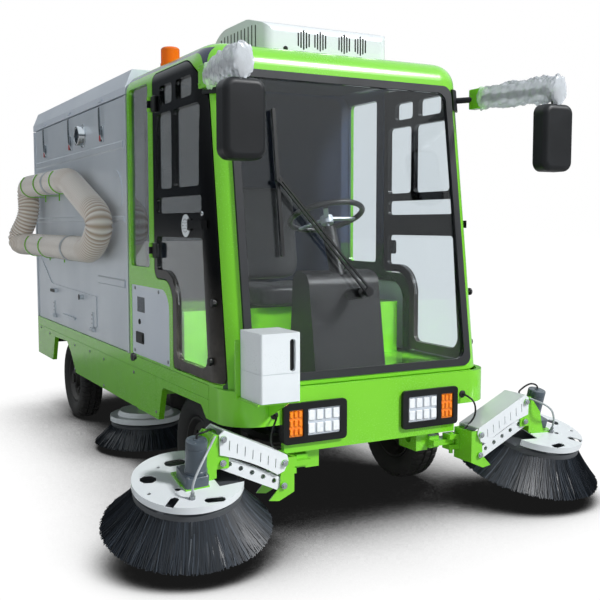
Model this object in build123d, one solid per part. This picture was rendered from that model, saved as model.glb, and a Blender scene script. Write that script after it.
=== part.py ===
from build123d import *
from math import atan2, cos, degrees, pi, radians, sin, sqrt, tan
import os

# A small enclosed electric street sweeper: cab in front, dust hopper behind, two side brushes on
# parallel arms ahead of the front wheels, two level brushes under the floor and a suction nozzle.
# Millimetres. X points to the vehicle's left, Y to its rear, Z up. The origin is on the ground,
# at the middle of the overall length. "Behind" a size means behind the bumper's front face.

# Overall sizes
HALF_WIDTH = 675.0
HOPPER_REAR = 3520.0
SHEET = 3.0
GAP = 6.0
FACE_GAP = 0.3

# Wheels, axles and steering
FRONT_AXLE = 568.0
REAR_AXLE = 2800.0
TYRE_R = 265.0
TYRE_WIDTH = 145.0
TYRE_OUTER_X = HALF_WIDTH - 66.0
RIM_R = 158.0
HUB_BORE_R = 31.0
SPINDLE_R = 30.95
KINGPIN_X = 440.0
KINGPIN_R = 14.0
KINGPIN_FIT = 0.05

# Skirt, rail and bumper levels
SKIRT_Z = 361.0
SEAM_Z = 570.0
RAIL_Z = 630.0
CORNER_SKIRT_Z = 485.0
SKIRT_T = 28.0
CORNER_R = 150.0
BUMPER_TOP_Z = 632.0
BUMPER_T = 24.0
LOWER_BUMPER_HALF = HALF_WIDTH - 235.0
LOWER_BUMPER_Z = 362.0
WRAP_BACK = 235.0

# Cab
CAB_FRONT = 55.0
CAB_REAR = 1300.0
ROOF_Z = 2075.0
LEAN = 8.0
ROOF_EDGE_R = 105.0
WALL = 34.0
FLOOR_T = 20.0
SCREEN_HALF = HALF_WIDTH - 97.0
SCREEN_LOW = 18.0
SCREEN_HIGH = 1341.0
SCREEN_CORNER_R = 45.0
SEAL_W = 34.0
GLASS_T = 6.0
DOOR_LOW_Z = 650.0
DOOR_TOP_Z = 2012.0
DOOR_FRONT = 118.0
DOOR_REAR_LOW = 655.0
DOOR_REAR = 900.0
DOOR_T = 30.0
PANE_IN = 12.0
HINGE_OUT = 14.0

# Hopper
HOPPER_FRONT = 1320.0
HOPPER_LOW_Z = 632.0
HOPPER_TOP_Z = 1972.0
HOPPER_WALL = 24.0
RIB_OUT = 8.0
LID_SKIRT = 38.0
LID_RISE = 90.0
LID_INSET = 38.0
LID_WALL = 20.0
HINGE_PIN_R = 6.0
HINGE_FIT = 0.05
KNUCKLE_R = 12.0

# Front side brushes
BRUSH_X = 887.0
BRUSH_BEHIND = -62.0
BRUSH_Z = 339.0
BRUSH_LEAN = 13.7
BRUSH_SPREAD = 3.5
GUARD_R = 216.0
TIP_R = 339.0
BRUSH_DROP = 205.0
ARM_IN_X = 500.0
ARM_OUT_X = 765.0
ARM_IN_Z = 361.0
ARM_OUT_Z = 487.0
ARM_SPACING = 94.0
ARM_FRONT = -120.0
ARM_BACK = 19.0
ARM_T = 6.0
PIN_R = 8.0
PIN_FIT = 0.05

# Level brushes under the floor
MID_X = 430.0
MID_BEHIND = 1800.0
MID_PLATE_Z = 195.0
MID_GUARD_R = 205.0
MID_TIP_R = 300.0
MID_TIP_Z = 35.0

# The forward reach of the leaning brush tips and the rearward reach of the tail handle set the
# middle of the length, where the origin is.
HANDLE_REACH = 40.0
REAR_DOOR_T = 30.0
brush_axis = Vector(sin(radians(BRUSH_SPREAD)),
                    -sin(radians(BRUSH_LEAN)) * cos(radians(BRUSH_SPREAD)),
                    cos(radians(BRUSH_LEAN)) * cos(radians(BRUSH_SPREAD)))
front_reach = BRUSH_BEHIND - brush_axis.Y * BRUSH_DROP - TIP_R * sqrt(1 - brush_axis.Y ** 2)
rear_reach = HOPPER_REAR + GAP + REAR_DOOR_T + HANDLE_REACH
NOSE = -(front_reach + rear_reach) / 2

parts = {}


def behind(distance):
    """Y of a place that lies this far behind the bumper's front face."""
    return NOSE + distance


def block(x0, x1, y0, y1, z0, z1):
    """Box between two corners; y counts from the bumper's face."""
    centre = Pos((x0 + x1) / 2, behind((y0 + y1) / 2), (z0 + z1) / 2)
    return centre * Box(abs(x1 - x0), abs(y1 - y0), abs(z1 - z0))


def outline(corners):
    """Closed face from corners (a, b, radius); a radius of 0 leaves the corner sharp."""
    face = make_face(Polyline(*[(a, b) for a, b, _ in corners], close=True))
    for a, b, radius in corners:
        if radius:
            corner = min(face.vertices(), key=lambda v: abs(v.X - a) + abs(v.Y - b))
            face = fillet(corner, radius)
    return face


def window(a0, a1, b0, b1, radius):
    """Corners of a rectangle with four equal rounded corners."""
    return [(a0, b0, radius), (a1, b0, radius), (a1, b1, radius), (a0, b1, radius)]


def side_face(corners, grow=0.0):
    """Face of a side view from (behind, z, radius) corners, grown all round if asked."""
    face = outline([(behind(y), z, radius) for y, z, radius in corners])
    return offset(face, amount=grow) if grow else face


def side_prism(corners, x0, x1, grow=0.0):
    """A side view's outline carried across the vehicle from x0 to x1."""
    return extrude(Plane.YZ.offset(x0) * side_face(corners, grow), amount=x1 - x0)


def front_prism(corners, y0, y1, grow=0.0):
    """A front view's (x, z, radius) outline carried back from y0 to y1."""
    face = outline(corners)
    face = offset(face, amount=grow) if grow else face
    plane = Plane(origin=(0, behind(y0), 0), x_dir=(1, 0, 0), z_dir=(0, -1, 0))
    return extrude(plane * face, amount=-(y1 - y0))


def rod(radius, start, end):
    """Round bar between two points given as (x, behind, z)."""
    a = Vector(start[0], behind(start[1]), start[2])
    b = Vector(end[0], behind(end[1]), end[2])
    return Plane(origin=a, z_dir=b - a) * Cylinder(radius, (b - a).length,
                                                   align=(Align.CENTER, Align.CENTER, Align.MIN))


def mirrored(shape):
    """The same shape on the other side of the vehicle."""
    return mirror(shape, about=Plane.YZ)


def both(shape):
    """A shape and its mirror image, as one group."""
    return [shape, mirrored(shape)]


def keep(name, *shapes):
    """Store one node; several solids become a compound."""
    solids = [s for shape in shapes for s in (shape if isinstance(shape, list) else [shape])]
    several = [solid for shape in solids for solid in shape.solids()]
    parts[name] = solids[0] if len(solids) == 1 else Compound(children=several)


def joined(first, *others):
    """All the shapes fused into one."""
    for other in others:
        first = first + other
    return first


# Cab: one skin with a leaning front, rounded front corners and rounded roof edges
lean = radians(LEAN)


def cab_front(z):
    """How far behind the bumper's face the cab's front stands at a height."""
    return CAB_FRONT + (z - BUMPER_TOP_Z) * tan(lean)


def cab_form(inset, low_z):
    """Solid that lies inside the cab's skin by an inset, from a height up to the roof."""
    half = HALF_WIDTH - inset
    radius = CORNER_R - inset
    front = behind(cab_front(low_z)) + inset / cos(lean)
    rear = behind(CAB_REAR) - inset
    past = rear + CAB_REAR
    section = make_face([
        Line((-half, past), (-half, front + radius)),
        CenterArc((-half + radius, front + radius), radius, 180, 90),
        Line((-half + radius, front), (half - radius, front)),
        CenterArc((half - radius, front + radius), radius, 270, 90),
        Line((half, front + radius), (half, past)),
        Line((half, past), (-half, past)),
    ])
    height = ROOF_Z - inset - low_z
    body = extrude(Pos(0, 0, low_z) * section, amount=height / cos(lean), dir=(0, sin(lean), cos(lean)))
    keep_box = Pos(0, rear - CAB_REAR, low_z) * Box(3 * half, 2 * CAB_REAR, 3 * height)
    body = body & keep_box
    roof = body.faces().sort_by(Axis.Z)[-1]
    edges = [edge for edge in roof.edges() if edge.center().Y < rear - 1]
    return fillet(edges, ROOF_EDGE_R - inset)


def cab_layer(outer, inner):
    """The cab's skin between two insets."""
    return cab_form(outer, BUMPER_TOP_Z) - cab_form(inner, BUMPER_TOP_Z - 1)


def door_front(z):
    """Door front edge: it follows the windscreen pillar."""
    return DOOR_FRONT + (z - DOOR_LOW_Z) * tan(lean)


SIDE_IN = HALF_WIDTH - 120.0
SIDE_OUT = HALF_WIDTH + 30.0
PANEL_TOP_Z = 1052.0
door_corners = [
    (door_front(DOOR_LOW_Z), DOOR_LOW_Z, 20),
    (DOOR_REAR_LOW, DOOR_LOW_Z, 25),
    (DOOR_REAR_LOW, PANEL_TOP_Z, 110),
    (DOOR_REAR, PANEL_TOP_Z, 50),
    (DOOR_REAR, DOOR_TOP_Z, 30),
    (door_front(DOOR_TOP_Z), DOOR_TOP_Z, 230),
]

# Door windows: behind from, to; z from, to; corner radius
DOOR_WINDOWS = [
    (640, 800, 1858, 1945, 18),
    (400, 590, 1858, 1945, 18),
    (650, 864, 1472, 1820, 22),
    (325, 625, 1472, 1820, 22),
    (300, 864, 1358, 1432, 18),
]
door_window_corners = [window(*row) for row in DOOR_WINDOWS] + [[
    (DOOR_FRONT + 120, DOOR_LOW_Z + 45, 60),
    (DOOR_REAR_LOW - 45, DOOR_LOW_Z + 45, 40),
    (DOOR_REAR_LOW - 45, PANEL_TOP_Z + 40, 150),
    (DOOR_REAR - 36, PANEL_TOP_Z + 40, 20),
    (DOOR_REAR - 36, 1250, 20),
    (DOOR_FRONT + 175, 1250, 20),
]]
quarter_corners = window(972, 1262, 1096, 1985, 22)
service_corners = [(706, 642, 12), (1262, 642, 12), (1262, 1000, 12), (706, 1000, 100)]

skin = cab_layer(0, WALL)
screen_plane = Plane(origin=(0, behind(CAB_FRONT), BUMPER_TOP_Z), x_dir=(1, 0, 0),
                     z_dir=(0, -cos(lean), sin(lean)))
screen_high = (SCREEN_HIGH - SCREEN_LOW)
screen_middle = SCREEN_LOW + screen_high / 2


def screen_plate(edge_in, low, high):
    """Plate in the windscreen's plane, this far in from the opening's edge, between two depths."""
    shape = RectangleRounded(2 * (SCREEN_HALF - edge_in), screen_high - 2 * edge_in, SCREEN_CORNER_R)
    return extrude(screen_plane.offset(low) * Pos(0, screen_middle) * shape, amount=high - low)


cab = skin - screen_plate(0, -3 * WALL, WALL)
for side in (-1, 1):
    x0, x1 = sorted((side * SIDE_IN, side * SIDE_OUT))
    cab -= side_prism(door_corners, x0, x1, grow=GAP)
    cab -= side_prism(quarter_corners, x0, x1)
    cab -= side_prism(service_corners, x0, x1)
parts["cab_frame"] = cab
parts["windscreen_seal"] = screen_plate(0, -20, 5) - screen_plate(SEAL_W, -21, 6)
glass_layer = cab_layer(PANE_IN, PANE_IN + GLASS_T)
quarter = glass_layer & side_prism(quarter_corners, -SIDE_OUT, -SIDE_IN)

door_shell = cab_layer(0, DOOR_T) & side_prism(door_corners, -SIDE_OUT, -SIDE_IN)
panes = []
for corners in door_window_corners:
    hole = side_prism(corners, -SIDE_OUT, -SIDE_IN)
    door_shell -= hole
    panes.append(glass_layer & hole)
parts["door_right_frame"] = door_shell
keep("door_right_glass", *panes)
parts["door_left_frame"] = mirrored(door_shell)
keep("door_left_glass", *[mirrored(pane) for pane in panes])


def hinge(at, along, fixed_to, moving_to, width):
    """Fixed and moving halves of one hinge: two knuckles with the pin, and one between them.

    at is the middle of the pin, along the pin's direction, and the two offsets say where each
    half's leaf ends."""
    fixed_share = width * 0.25
    moving_share = width - 2 * fixed_share - 2

    def leaf(towards, low, high):
        reach = Vector(*towards)
        frame = Plane(origin=at, x_dir=reach, z_dir=along)
        plate = Pos(reach.length / 2, 0, (low + high) / 2) * Box(reach.length, LEAF_T, high - low)
        ring = Pos(0, 0, (low + high) / 2) * Cylinder(KNUCKLE_R, high - low)
        return frame * (plate + ring)

    frame = Plane(origin=at, z_dir=along)
    pin = frame * Cylinder(HINGE_PIN_R, width)
    clear = frame * Cylinder(HINGE_PIN_R + HINGE_FIT, width)
    fixed = leaf(fixed_to, -width / 2, -width / 2 + fixed_share)
    fixed = fixed + leaf(fixed_to, width / 2 - fixed_share, width / 2) + pin
    moving = leaf(moving_to, -moving_share / 2, moving_share / 2) - clear
    return fixed, moving


LEAF_T = 6.0

# Door hinges: behind, z. The barrels stand outside the rear edge of each door.
DOOR_HINGES = [(903, 1873), (903, 1184)]
DOOR_HINGE_WIDTH = 70.0
LEAF_REACH = 42.0
door_hinge_x = HALF_WIDTH + HINGE_OUT
cab = parts["cab_frame"]
door = parts["door_right_frame"]
for hinge_behind, hinge_z in DOOR_HINGES:
    at = Vector(-door_hinge_x, behind(hinge_behind), hinge_z)
    into_skin = HINGE_OUT + LEAF_T / 2
    fixed, moving = hinge(at, (0, 0, 1), (into_skin, LEAF_REACH, 0), (into_skin, -LEAF_REACH, 0),
                          DOOR_HINGE_WIDTH)
    cab = joined(cab, fixed, mirrored(fixed))
    door = door + moving
handle = block(-HALF_WIDTH - 22, -HALF_WIDTH + 4, 250, 400, 1290, 1326) - block(
    -HALF_WIDTH - 12, -HALF_WIDTH, 268, 382, 1280, 1336)
door = door + handle
parts["cab_frame"] = cab
parts["door_right_frame"] = door
parts["door_left_frame"] = mirrored(door)

# Chassis: two rails, bearers across them, floor and seat box
RAIL_IN = 250.0
RAIL_OUT = 320.0
FRAME_LOW_Z = 400.0
FRAME_TOP_Z = 500.0
FRAME_FRONT = 70.0
FRAME_REAR = 3490.0
CAB_BEARER_TOP = RAIL_Z - FLOOR_T
skirt_in = HALF_WIDTH - SKIRT_T
rail = block(RAIL_IN, RAIL_OUT, FRAME_FRONT, FRAME_REAR, FRAME_LOW_Z, FRAME_TOP_Z)
keep("frame_rails", both(rail))

# Cross members between the rails: behind from, to
CROSS_MEMBERS = [(80, 140), (900, 960), (1330, 1390), (2050, 2110), (3400, 3460)]
cross = [block(-RAIL_IN, RAIL_IN, a, b, FRAME_LOW_Z + 15, FRAME_TOP_Z - 15) for a, b in CROSS_MEMBERS]
# Bearers on top of the rails, out to the skirts: behind from, to, top height
BEARERS = [(120, 170, CAB_BEARER_TOP), (980, 1030, CAB_BEARER_TOP), (1240, 1290, CAB_BEARER_TOP),
           (1500, 1550, HOPPER_LOW_Z), (2420, 2470, HOPPER_LOW_Z), (3260, 3310, HOPPER_LOW_Z)]
bearers = [block(-skirt_in, skirt_in, a, b, FRAME_TOP_Z, top) for a, b, top in BEARERS]


def plan_corners(half, front, rear, radius):
    """Plan outline with two rounded front corners, as (x, y, radius) corners."""
    return [(-half, behind(rear), 0), (-half, behind(front), radius), (half, behind(front), radius),
            (half, behind(rear), 0)]


floor_half = skirt_in - 2
floor_plan = outline(plan_corners(floor_half, CAB_FRONT + 5, CAB_REAR - 10, 120))
floor = extrude(Pos(0, 0, CAB_BEARER_TOP) * floor_plan, amount=FLOOR_T + BUMPER_TOP_Z - RAIL_Z)
SEAT_BOX_FRONT = 700.0
SEAT_BOX_TOP = 900.0
SEAT_BOX_HALF = HALF_WIDTH - 75.0
SEAT_FRONT = 640.0
SEAT_BACK = 1080.0
CUSHION_T = 110.0
seat_box_rear = CAB_REAR - WALL
seat_box = block(-SEAT_BOX_HALF, SEAT_BOX_HALF, SEAT_BOX_FRONT, seat_box_rear, BUMPER_TOP_Z, SEAT_BOX_TOP)
seat_box -= block(-SEAT_BOX_HALF + 20, SEAT_BOX_HALF - 20, SEAT_BOX_FRONT + 20, seat_box_rear - 20,
                  BUMPER_TOP_Z - 1, SEAT_BOX_TOP - 20)
parts["cab_floor"] = floor + seat_box
parts["battery_block"] = block(-380, 380, 770, 1210, BUMPER_TOP_Z, 860)

# Skirts with arches, joined to the side rail above them; a shallow groove marks the seam
ARCH_HIGH_Z = 540.0
skirt_corners = [
    (WRAP_BACK + 3, RAIL_Z, 0), (WRAP_BACK + 3, CORNER_SKIRT_Z, 0),
    (FRONT_AXLE - 300, CORNER_SKIRT_Z, 0), (FRONT_AXLE - 245, ARCH_HIGH_Z - 5, 20),
    (FRONT_AXLE + 245, ARCH_HIGH_Z - 10, 40), (FRONT_AXLE + 305, SKIRT_Z, 0),
    (REAR_AXLE - 360, SKIRT_Z, 0), (REAR_AXLE - 243, 478, 30),
    (REAR_AXLE - 144, ARCH_HIGH_Z, 25), (REAR_AXLE + 193, ARCH_HIGH_Z - 8, 25),
    (REAR_AXLE + 269, SKIRT_Z, 0), (HOPPER_REAR, SKIRT_Z, 0), (HOPPER_REAR, RAIL_Z, 0),
]
skirt = side_prism(skirt_corners, skirt_in, HALF_WIDTH)
skirt -= block(HALF_WIDTH - SHEET, HALF_WIDTH + 1, WRAP_BACK, HOPPER_REAR + 1, SEAM_Z - 1.5, SEAM_Z + 1.5)
keep("skirts", both(skirt))

# Bumper: a band that wraps both corners, a deeper middle with the lamps, and the shelf that
# carries the reservoir
LAMP_OUT = LOWER_BUMPER_HALF + 8.0
LAMP_IN = LAMP_OUT - 303.0
LAMP_LOW_Z = 400.0
LAMP_HIGH_Z = 572.0
LAMP_OUT_R = 16.0


def wrap_section(inset):
    """Plan face of the wrapped bumper, inset from its outer face."""
    return outline(plan_corners(HALF_WIDTH - inset, inset, WRAP_BACK, CORNER_R - inset))


bumper = extrude(Pos(0, 0, CORNER_SKIRT_Z) * (wrap_section(0) - wrap_section(BUMPER_T)),
                 amount=BUMPER_TOP_Z - CORNER_SKIRT_Z)
bumper += block(-LOWER_BUMPER_HALF, LOWER_BUMPER_HALF, 0, BUMPER_T, LOWER_BUMPER_Z, CORNER_SKIRT_Z)
shelf_band = block(-HALF_WIDTH + BUMPER_T, HALF_WIDTH - BUMPER_T, BUMPER_T - 1, FRAME_FRONT, 590, 604)
bumper += shelf_band & extrude(Pos(0, 0, 500) * wrap_section(BUMPER_T / 2), amount=200)
lamp_corners = window(LAMP_IN, LAMP_OUT, LAMP_LOW_Z, LAMP_HIGH_Z, 18)
lamp_body = front_prism(lamp_corners, -LAMP_OUT_R, BUMPER_T)
bumper = bumper - lamp_body - mirrored(lamp_body)
rail_stub = block(RAIL_IN, RAIL_OUT, BUMPER_T, FRAME_FRONT, FRAME_LOW_Z, FRAME_TOP_Z)
rail_stub += block(RAIL_IN - 10, RAIL_OUT + 10, BUMPER_T, BUMPER_T + 6, LOWER_BUMPER_Z + 8, LAMP_HIGH_Z + 30)
bumper = joined(bumper, rail_stub, mirrored(rail_stub))
grommet = rod(15, (485, -2, 529), (485, BUMPER_T + 2, 529))
bumper = bumper - grommet - mirrored(grommet)

# Reservoir: a box with a lid line and a sight slot, on a shelf with an upright behind it
TANK_RIGHT = 34.0 - HALF_WIDTH
TANK_LEFT = TANK_RIGHT + 171.0
TANK_FRONT = -200.0
TANK_Z = 622.0
TANK_TOP = 892.0
TANK_PLATE_TOP = 850.0
TANK_SEAM_Z = 735.0
SHELF_T = 8.0
shelf = block(TANK_RIGHT - 10, TANK_LEFT + 6, TANK_FRONT + 8, 0, TANK_Z - SHELF_T, TANK_Z)
upright = block(TANK_RIGHT - 20, TANK_LEFT + 6, -SHELF_T, 0, TANK_Z - SHELF_T, TANK_PLATE_TOP)
web = side_prism([(0, TANK_Z - SHELF_T - 90, 0), (0, TANK_Z - SHELF_T, 0),
                  (TANK_FRONT + 20, TANK_Z - SHELF_T, 0)],
                 TANK_LEFT - 40, TANK_LEFT - 34)
parts["front_bumper"] = joined(bumper, shelf, upright, web)
tank_back = -SHELF_T
tank = extrude(Pos((TANK_LEFT + TANK_RIGHT) / 2, behind((TANK_FRONT + tank_back) / 2), TANK_Z)
               * RectangleRounded(TANK_LEFT - TANK_RIGHT, tank_back - TANK_FRONT,
                                  8), amount=TANK_TOP - TANK_Z)
groove = tank & block(TANK_RIGHT - 1, TANK_LEFT + 1, TANK_FRONT - 1, 1, TANK_SEAM_Z - 1.5, TANK_SEAM_Z + 1.5)
core = block(TANK_RIGHT + 3, TANK_LEFT - 3, TANK_FRONT + 3, tank_back - 3, TANK_SEAM_Z - 5, TANK_SEAM_Z + 5)
tank = tank - (groove - core)
tank -= front_prism(window(TANK_LEFT - 47, TANK_LEFT - 22, 741, 868, 12), TANK_FRONT - 1, TANK_FRONT + 14)
parts["reservoir"] = tank

# Lamps: bezel with two pockets, and the lenses in them. Lenses: x from, to
LENS_LOW_Z = 430.0
LENS_HIGH_Z = 543.0
LENSES = [(LAMP_IN + 31, LAMP_IN + 190), (LAMP_OUT - 93, LAMP_OUT - 25)]
lenses = []
for x0, x1 in LENSES:
    pocket = front_prism(window(x0, x1, LENS_LOW_Z, LENS_HIGH_Z, 5), -LAMP_OUT_R - 1, 8)
    lamp_body -= pocket
    lenses.append(front_prism(window(x0, x1, LENS_LOW_Z, LENS_HIGH_Z, 5), -LAMP_OUT_R + 8, 8))
TAIL_LAMP_Z = 470.0
TAIL_LAMP_H = 90.0
TAIL_LAMP_OUT = HALF_WIDTH - 45.0
TAIL_LAMP_IN = TAIL_LAMP_OUT - 160.0
BEZEL_W = 8.0
tail_lamp = block(TAIL_LAMP_IN, TAIL_LAMP_OUT, HOPPER_REAR - 2, HOPPER_REAR + 26, TAIL_LAMP_Z,
                  TAIL_LAMP_Z + TAIL_LAMP_H)


def tail_inside(depth):
    """Block inside the tail lamp's bezel, from its pocket's floor out to a depth."""
    return block(TAIL_LAMP_IN + BEZEL_W, TAIL_LAMP_OUT - BEZEL_W, HOPPER_REAR + 10, HOPPER_REAR + depth,
                 TAIL_LAMP_Z + BEZEL_W, TAIL_LAMP_Z + TAIL_LAMP_H - BEZEL_W)


tail_pocket = tail_inside(27)
tail_lens = tail_inside(22)
tail_beam = block(-skirt_in, skirt_in, FRAME_REAR, HOPPER_REAR - 2, 430, 600)
keep("lamp_housings", both(lamp_body), both(tail_lamp - tail_pocket))
keep("lamp_lenses", *[both(lens) for lens in lenses], both(tail_lens))

# Tow plate on the tail beam: four holes for a hitch
TOW_SPACING_X = 90.0
TOW_SPACING_Z = 60.0
TOW_HOLE_R = 6.5
TOW_Z = 500.0
tow_plate = block(-75, 75, HOPPER_REAR - 2, HOPPER_REAR + 10, TOW_Z - 55, TOW_Z + 55)
tail = tail_beam + tow_plate
for sx in (-1, 1):
    for sz in (-1, 1):
        x, z = sx * TOW_SPACING_X / 2, TOW_Z + sz * TOW_SPACING_Z / 2
        tail -= rod(TOW_HOLE_R, (x, FRAME_REAR - 1, z), (x, HOPPER_REAR + 11, z))
keep("frame_cross_members", *cross, *bearers, tail)

# Cab fittings
SERVICE_T = 20.0
panel = side_prism(service_corners, -HALF_WIDTH + 2, -HALF_WIDTH + 2 + SERVICE_T)
panel -= block(-HALF_WIDTH, -HALF_WIDTH + 8, 1128, 1168, 708, 762)
keep("service_panels", both(panel))
cushion_middle = behind((SEAT_FRONT + SEAT_BACK) / 2)
cushion_face = RectangleRounded(450, SEAT_BACK - SEAT_FRONT, 60)
seat_cushion = extrude(Pos(0, cushion_middle, SEAT_BOX_TOP) * cushion_face, amount=CUSHION_T)
seat_back = side_prism([(SEAT_BACK - 20, SEAT_BOX_TOP, 0), (SEAT_BACK + 80, SEAT_BOX_TOP, 25),
                        (SEAT_BACK + 150, 1490, 40), (SEAT_BACK + 65, 1500, 40)], -215, 215)
parts["seat"] = seat_cushion + seat_back
console = side_prism([(185, BUMPER_TOP_Z, 0), (255, 1080, 70), (400, 1110, 60), (440, BUMPER_TOP_Z, 0)],
                     -185, 185)
WHEEL_TILT = 22.0
WHEEL_CENTRE = (0.0, 420.0, 1345.0)
STEER_WHEEL_R = 172.0
STEER_RIM_R = 13.0
STEER_SHAFT_R = 9.0
wheel_axis = Vector(0, sin(radians(WHEEL_TILT)), cos(radians(WHEEL_TILT)))
wheel_centre = Vector(0, behind(WHEEL_CENTRE[1]), WHEEL_CENTRE[2])
column_plane = Plane(origin=wheel_centre - wheel_axis * 60, x_dir=(1, 0, 0), z_dir=-wheel_axis)
column = column_plane * Cylinder(34, 240, align=(Align.CENTER, Align.CENTER, Align.MIN))
column -= column_plane * Cylinder(STEER_SHAFT_R + PIN_FIT, 40, align=(Align.CENTER, Align.CENTER, Align.MIN))
parts["steering_console"] = console + column
wheel_plane = Plane(origin=wheel_centre, x_dir=(1, 0, 0), z_dir=wheel_axis)
rim = Torus(STEER_WHEEL_R, STEER_RIM_R)
hub = Pos(0, 0, -20) * Cylinder(30, 36)
spoke = Pos(STEER_WHEEL_R / 2, 0, -12) * Box(STEER_WHEEL_R - 8, 22, 9)
spokes = [Rot(0, 0, angle) * spoke for angle in (0, 120, 240)]
shaft = Pos(0, 0, -63) * Cylinder(STEER_SHAFT_R, 74)
knob_at = Rot(0, 0, 60) * Pos(STEER_WHEEL_R, 0, STEER_RIM_R)
knob = knob_at * (Pos(0, 0, 18) * Sphere(19) + Cylinder(6, 12))
parts["steering_wheel"] = wheel_plane * joined(rim, hub, shaft, knob, *spokes)

# Roof: cooling unit with an arched top and a beacon
AC_HALF = 335.0
ac_corners = [(400, ROOF_Z, 0), (400, 2196, 40), (560, 2240, 200), (880, 2240, 250), (1010, 2130, 40),
              (1010, ROOF_Z, 0)]
ac_profile = side_prism(ac_corners, -AC_HALF, AC_HALF)
ac_plan = extrude(Pos(0, behind(705), ROOF_Z - 1) * RectangleRounded(2 * AC_HALF, 610, 55), amount=200)
parts["roof_cooling_unit"] = ac_profile & ac_plan
BEACON_X = 115.0 - HALF_WIDTH
BEACON_BEHIND = 960.0
beacon_base = Pos(BEACON_X, behind(BEACON_BEHIND), ROOF_Z - 10) * Cylinder(48, 35)
beacon_base -= cab_form(0, BUMPER_TOP_Z)
beacon_top = beacon_base.bounding_box().max.Z
beacon_lens = Pos(BEACON_X, behind(BEACON_BEHIND), beacon_top + 39) * Cylinder(45, 78)
beacon_lens = fillet(beacon_lens.edges().group_by(Axis.Z)[-1], 14)
parts["beacon"] = beacon_base + beacon_lens

# Mirrors
MIRROR_X = HALF_WIDTH + 73.0
MIRROR_BEHIND = -273.0
MIRROR_Z = 1683.0
MIRROR_T = 76.0
mirror_back = Plane(origin=(0, MIRROR_T / 2, 0), x_dir=(1, 0, 0), z_dir=(0, -1, 0))
mirror_head = Pos(MIRROR_X, behind(MIRROR_BEHIND), MIRROR_Z) * (
    mirror_back * extrude(RectangleRounded(168, 290, 42), amount=MIRROR_T))
mirror_head = fillet(mirror_head.edges().group_by(Axis.Y)[0], 24)
keep("mirror_heads", both(mirror_head))
MIRROR_ARM_R = 14.0
MIRROR_PAD_T = 12.0
arm_path_points = [(HALF_WIDTH - 55, 288, 1900), (HALF_WIDTH + 22, 200, 1903), (MIRROR_X + 8, -225, 1895),
                   (MIRROR_X, MIRROR_BEHIND, 1860), (MIRROR_X, MIRROR_BEHIND, MIRROR_Z + 145)]
path = FilletPolyline(*[(x, behind(y), z) for x, y, z in arm_path_points], radius=[40, 60, 30])
mirror_arm = sweep(Plane(origin=path @ 0, z_dir=path % 0) * Circle(MIRROR_ARM_R), path=path)
# The pad wraps the cab's rounded corner
mirror_pad = cab_form(-MIRROR_PAD_T, BUMPER_TOP_Z) & block(HALF_WIDTH - 80, HALF_WIDTH + 80, 200, 300, 1850,
                                                           1950)
keep("mirror_arms", both(mirror_arm + mirror_pad - cab_form(0, BUMPER_TOP_Z)))

# Wiper in the windscreen's plane: its spindle passes through the glass from a motor housing
WIPER_PIVOT = (20.0, 380.0)
BLADE_PIVOT = (-385.0, 868.0)
BLADE_LENGTH = 630.0
BLADE_MIDDLE = 860.0
BLADE_LIFT = 7.0
WIPER_SPINDLE_R = 6.0
BLADE_PIN_R = 4.0


def screen_rod(point, radius, low, high):
    """Round bar square to the windscreen, between two depths outside its plane."""
    return extrude(screen_plane.offset(low) * Pos(*point) * Circle(radius), amount=high - low)


def screen_bar(a, b, width, low, high):
    """Flat bar with round ends between two points of the windscreen's plane."""
    run = Vector(*b) - Vector(*a)
    angle = degrees(atan2(run.Y, run.X))
    slot = SlotCenterToCenter(run.length, width)
    shape = Pos(a[0] + run.X / 2, a[1] + run.Y / 2) * Rot(0, 0, angle) * slot
    return extrude(screen_plane.offset(low) * shape, amount=high - low)


glass_in = -12.0
arm_low = BLADE_LIFT + 21
arm_side = 12.0
blade = extrude(screen_plane.offset(BLADE_LIFT) * Pos(BLADE_PIVOT[0], BLADE_MIDDLE)
                * RectangleRounded(14, BLADE_LENGTH, 5), amount=16)
blade += screen_rod(BLADE_PIVOT, 11, BLADE_LIFT, arm_low + 1)
blade += screen_rod(BLADE_PIVOT, BLADE_PIN_R, BLADE_LIFT, arm_low + 12)
wiper = screen_rod(BLADE_PIVOT, 14, arm_low, arm_low + 9)
wiper += screen_rod(WIPER_PIVOT, 20, arm_low - 12, arm_low + 12)
run = (Vector(*BLADE_PIVOT) - Vector(*WIPER_PIVOT)).normalized()
for shift in (-arm_side, arm_side):
    dx, dt = -run.Y * shift, run.X * shift
    start = (WIPER_PIVOT[0] + dx, WIPER_PIVOT[1] + dt)
    end = (BLADE_PIVOT[0] + dx / 2, BLADE_PIVOT[1] + dt / 2)
    wiper += screen_bar(start, end, 8, arm_low, arm_low + 9)
wiper += screen_rod(WIPER_PIVOT, WIPER_SPINDLE_R, glass_in - 50, arm_low)
parts["wiper_arm"] = joined(wiper, blade)
housing = screen_rod(WIPER_PIVOT, 26, glass_in - 150, glass_in - 1)
housing -= screen_rod(WIPER_PIVOT, WIPER_SPINDLE_R + PIN_FIT, glass_in - 60, glass_in)
parts["steering_console"] += housing
screen_glass = screen_plate(SEAL_W, glass_in, glass_in + GLASS_T)
screen_glass -= screen_rod(WIPER_PIVOT, 16, glass_in - 1, 1)
keep("cab_glass", screen_glass, both(quarter))

# Springs: a leaf pack over each axle, hung from the rails
SPRING_X = 285.0
SPRING_HALF = 330.0
SPRING_W = 56.0
SPRING_T = 32.0
SPRING_SAG = 46.0
AXLE_Z = TYRE_R
AXLE_SEAT_Z = AXLE_Z + 34


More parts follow.
